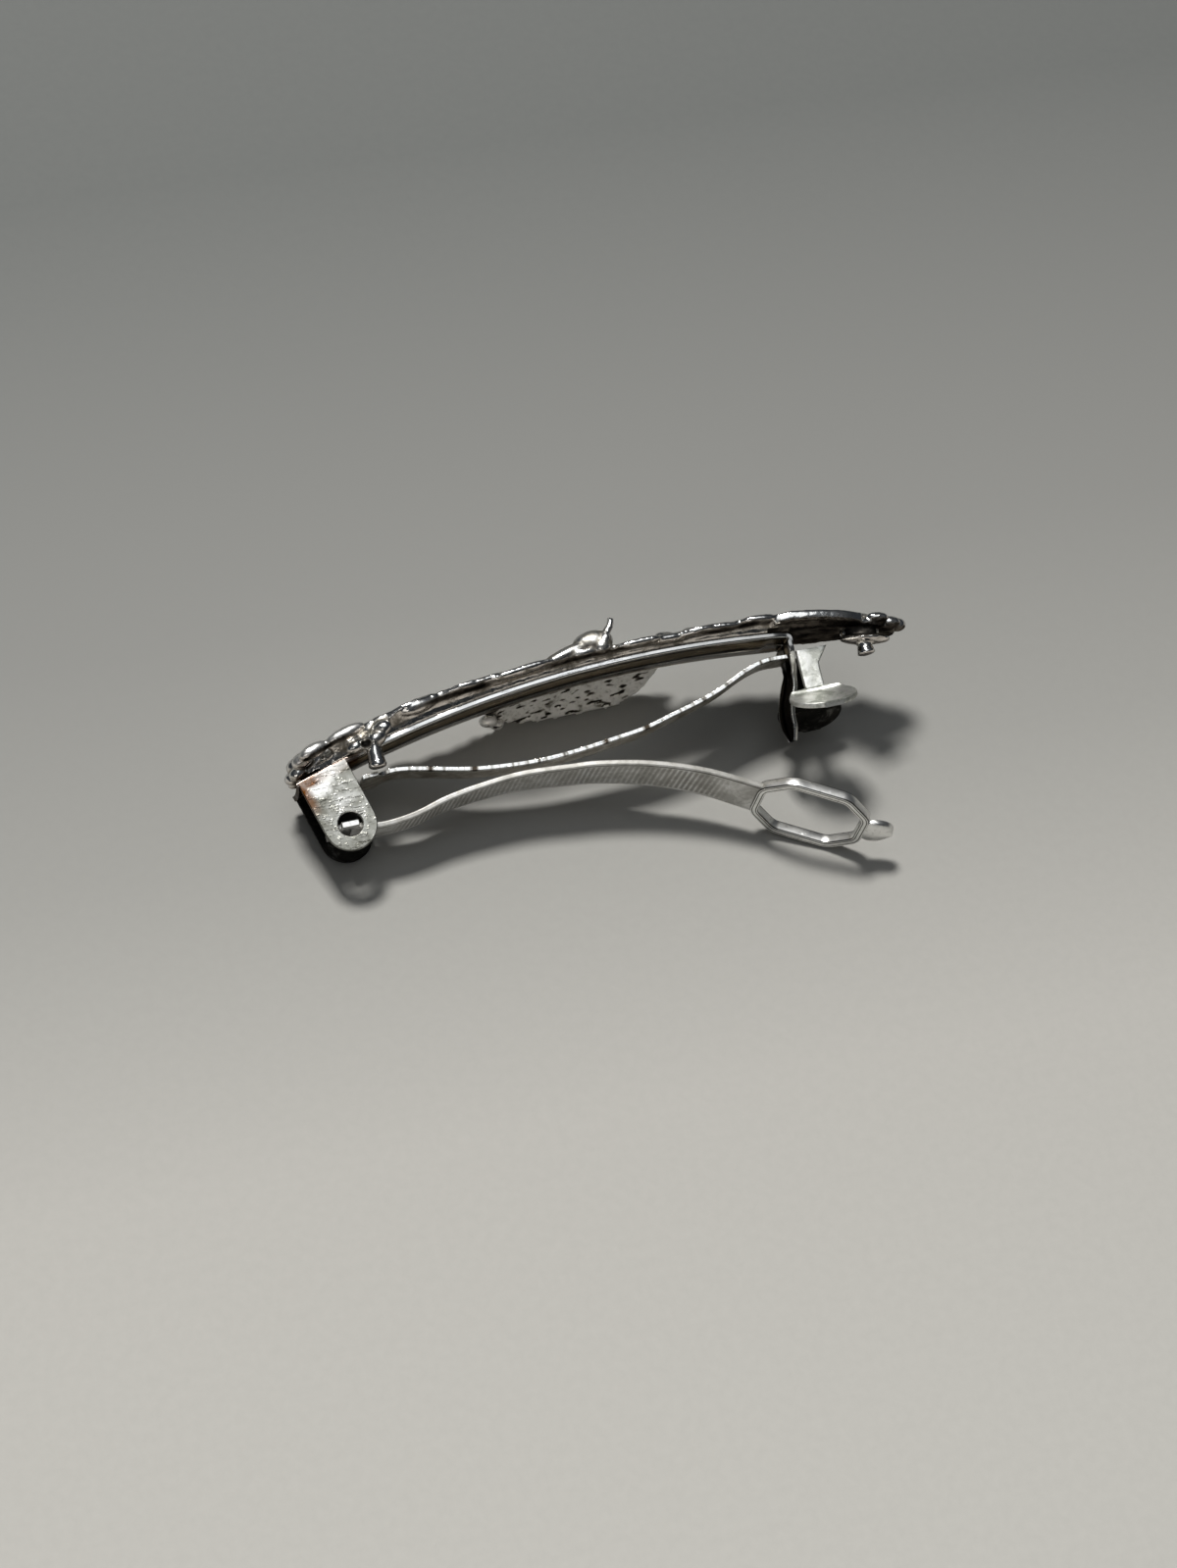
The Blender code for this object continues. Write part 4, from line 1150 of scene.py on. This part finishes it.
def tarnish_ornament(mesh):
    """Writes the casting's tarnish, brown and matte masks from its hollows and its places."""
    pits = roughen_ornament(mesh)
    hollow, points, normals = surface_hollow(mesh)
    x, y, z = points.T
    seat = np.array([arch_z(at) for at in np.clip(x, -33.0, 36.0)]) + SHEET / 2 + CAST_GAP
    lifts = np.interp(x, NEAR_PLACES, NEAR_LIFTS)
    tarnish = 0.26 + hollow * 3.4
    under = share_of(-normals[:, 2] * 1.6 - 0.15)
    beside_strip = share_of((4.6 - y) / 0.8)
    side_band = share_of((-3.3 - y) / 0.4) * under
    by_dome = np.exp(-(((x + 0.3) / 3.8) ** 2))
    from_lip = np.abs(z - (seat + lifts - 0.8 - by_dome * 0.2))
    under_lip = share_of(1.3 - from_lip / (0.28 + by_dome * 0.55)) * share_of((-4.2 - y) / 0.3)
    recess = share_of(np.sin(x * 0.42 + 1.2) + 0.55 + by_dome)
    matte = (1 - beside_strip) * share_of(1.1 - normals[:, 2] * 1.8)
    tarnish = np.where(side_band > 0.5, 0.30 + hollow * 1.2, tarnish + under * beside_strip * 0.3)
    tarnish += under_lip * recess * 0.55
    tarnish = np.where(under * (1 - beside_strip) > 0.5, 0.15 + hollow * 2.4 + pits, tarnish)
    for hole in BOSS_HOLES:
        tarnish += 1.2 * share_of(1.6 - np.linalg.norm(points - np.array(hole), axis=1) / 0.42)
    leaf = np.array(SMOOTH_LEAF)
    above_leaf = z - np.interp(x, leaf[:, 0], leaf[:, 2])
    left_leaves = (x < -24.5) & (y < -3.9) & (z - seat - lifts > -0.7)
    on_dome = (np.abs(x + 0.4) < 4.0) & (y < -3.4) & (z > 8.2)
    matte = np.where(left_leaves, 0.55, np.where(on_dome, 0.42, matte))
    places = (
        ((x > 20.6) & (x < 31.2) & (y < -3.9) & (above_leaf > -0.5), 0.08, 0.5),
        (left_leaves, 0.06, 1.6),
        (on_dome, 0.37, 2.6),
        ((x > 21.5) & (normals[:, 2] < -0.3) & (y < 3.5), 0.70, 1.0),
        ((x > 20.2) & (x < 33.5) & (y < -2.9) & (above_leaf < -0.6), 0.86, 0.0),
        ((z < np.interp(x, (27.0, 33.5), (4.75, 3.75))) & (x > 27.6) & (y < -1.0), 0.18, 2.0),
    )
    for here, base, by_hollow in places:
        tarnish = np.where(here, base + hollow * by_hollow, tarnish)
    masks = {"tarnish": tarnish, "brown": under * beside_strip, "matte": matte}
    for name, values in masks.items():
        layer = mesh.attributes.new(name, "FLOAT", "POINT")
        layer.data.foreach_set("value", share_of(values).astype(np.float32))


def make_ornament(material):
    """Joins the casting's forms into one skin, as a casting has, then ages it."""
    forms = [cast_sheet()] + near_rim() + far_rim() + front_leaves() + edge_fittings()
    rough = add_object("cast_forms", joined("cast_forms", forms))
    skin = rough.modifiers.new("Skin", "REMESH")
    skin.mode = "VOXEL"
    skin.voxel_size = CAST_VOXEL
    soften = rough.modifiers.new("Soften", "SMOOTH")
    soften.factor = 0.5
    soften.iterations = 1
    mesh = taken_mesh(rough)
    tarnish_ornament(mesh)
    obj = place("cast_ornament", mesh, material, sharp=80.0)
    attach(obj, "base")
    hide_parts("ornament")


# Studio


def make_floor():
    bm = bmesh.new()
    corners = [(x * FLOOR_HALF, y * FLOOR_HALF, 0) for x, y in ((-1, -1), (1, -1), (1, 1), (-1, 1))]
    bm.faces.new([bm.verts.new(corner) for corner in corners])
    floor = add_object("table_top", finish_mesh("table_top", bm))
    material, nodes, inputs = plain_material("pale table with painted falloff")
    where = nodes.add("ShaderNodeTexCoord").outputs["Object"]
    fleck = nodes.noise(where, 900.0, 3.0, 0.6)
    # Painted light falloff: the table's colour darkens from the front towards the back.
    away = nodes.range(nodes.part(where, "Y"), -0.09, 0.09)
    colour = nodes.ramp(away, [
        (0.0, (0.53, 0.52, 0.487)), (0.3, (0.455, 0.444, 0.417)), (0.5, (0.305, 0.302, 0.286)),
        (0.65, (0.23, 0.23, 0.22)), (1.0, (0.122, 0.128, 0.124)),
    ])
    colour = nodes.blend(nodes.range(fleck, 0.3, 0.7, 0.0, 0.07), colour, (0.2, 0.2, 0.19, 1))
    nodes.join(colour, inputs["Base Color"])
    inputs["Roughness"].default_value = 0.85
    floor.data.materials.append(material)


def add_softbox(name, place_at, width, height, power):
    """A rectangular lamp that points at the middle of the table."""
    lamp = bpy.data.lights.new(name, "AREA")
    lamp.shape = "RECTANGLE"
    lamp.size = width
    lamp.size_y = height
    lamp.energy = power
    lamp.color = (1.0, 0.985, 0.955)
    obj = add_object(name, lamp)
    obj.location = place_at
    obj.rotation_mode = "QUATERNION"
    obj.rotation_quaternion = (-Vector(place_at)).to_track_quat("-Z", "Y")


def make_light():
    add_softbox("window_left", (-0.09, 0.29, 0.61), 0.13, 0.11, 5.2)
    add_softbox("fill_front", (-0.30, -0.50, 0.36), 0.35, 0.25, 0.4)
    world = bpy.data.worlds.new("studio")
    bpy.context.scene.world = world
    world.use_nodes = True
    nodes = Nodes(world.node_tree)
    background = world.node_tree.nodes["Background"]
    direction = nodes.add("ShaderNodeTexCoord").outputs["Generated"]
    sky = nodes.ramp(nodes.part(direction, "Z"), [
        (0.0, (0.022, 0.026, 0.030)), (0.55, (0.025, 0.028, 0.032)), (0.85, (0.06, 0.062, 0.066)),
        (0.945, (0.11, 0.12, 0.13)), (0.963, (1.13, 1.17, 1.20)),
    ])
    nodes.join(sky, background.inputs["Color"])
    background.inputs["Strength"].default_value = 1.0


def make_camera():
    data = bpy.data.cameras.new("photo_camera")
    data.lens = CAMERA_LENS
    data.sensor_width = SENSOR_WIDTH
    data.clip_start = 0.01
    data.clip_end = 10.0
    obj = add_object("photo_camera", data)
    turn = CLIP.to_3x3() * (1 / MM)
    right = (turn @ Vector(CAMERA_RIGHT)).normalized()
    up = -(turn @ Vector(CAMERA_DOWN)).normalized()
    back = right.cross(up).normalized()
    up = back.cross(right)
    obj.matrix_world = Matrix((right, up, back)).transposed().to_4x4()
    obj.location = CLIP @ Vector(CAMERA_PLACE)
    bpy.context.scene.camera = obj


def main():
    wear = make_mottle_group()
    strip_nickel = make_strip_nickel(wear)
    ear_nickel = make_ear_nickel(wear)
    leg_nickel = make_leg_nickel(wear, False)
    # A near-black copy of the leg nickel for the far ear, leg and tab: painted shade.
    shaded_far_nickel = make_leg_nickel(wear, True)
    make_base(strip_nickel, ear_nickel, shaded_far_nickel)
    make_leg("near_leg_and_tab", "catch_leg_near", "near_tab", -1, leg_nickel)
    make_leg("far_leg_and_tab", "catch_leg_far", "far_tab", 1, shaded_far_nickel)
    make_bow(make_spring_nickel(wear))
    make_arm(make_arm_nickel(wear, True), make_arm_nickel(wear, False))
    make_ornament(make_antique_silver(wear))
    make_floor()
    make_light()
    make_camera()
    bpy.context.scene.view_settings.view_transform = "Standard"


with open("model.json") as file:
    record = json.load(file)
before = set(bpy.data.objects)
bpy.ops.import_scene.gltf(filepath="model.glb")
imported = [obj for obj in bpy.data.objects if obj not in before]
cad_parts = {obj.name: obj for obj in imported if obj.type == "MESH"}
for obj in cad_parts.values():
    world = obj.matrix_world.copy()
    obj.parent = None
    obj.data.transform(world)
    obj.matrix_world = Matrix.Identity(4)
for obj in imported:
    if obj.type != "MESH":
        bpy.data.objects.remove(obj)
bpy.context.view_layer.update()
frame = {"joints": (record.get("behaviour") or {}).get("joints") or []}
CLIP = clip_matrix(frame["joints"])
main()
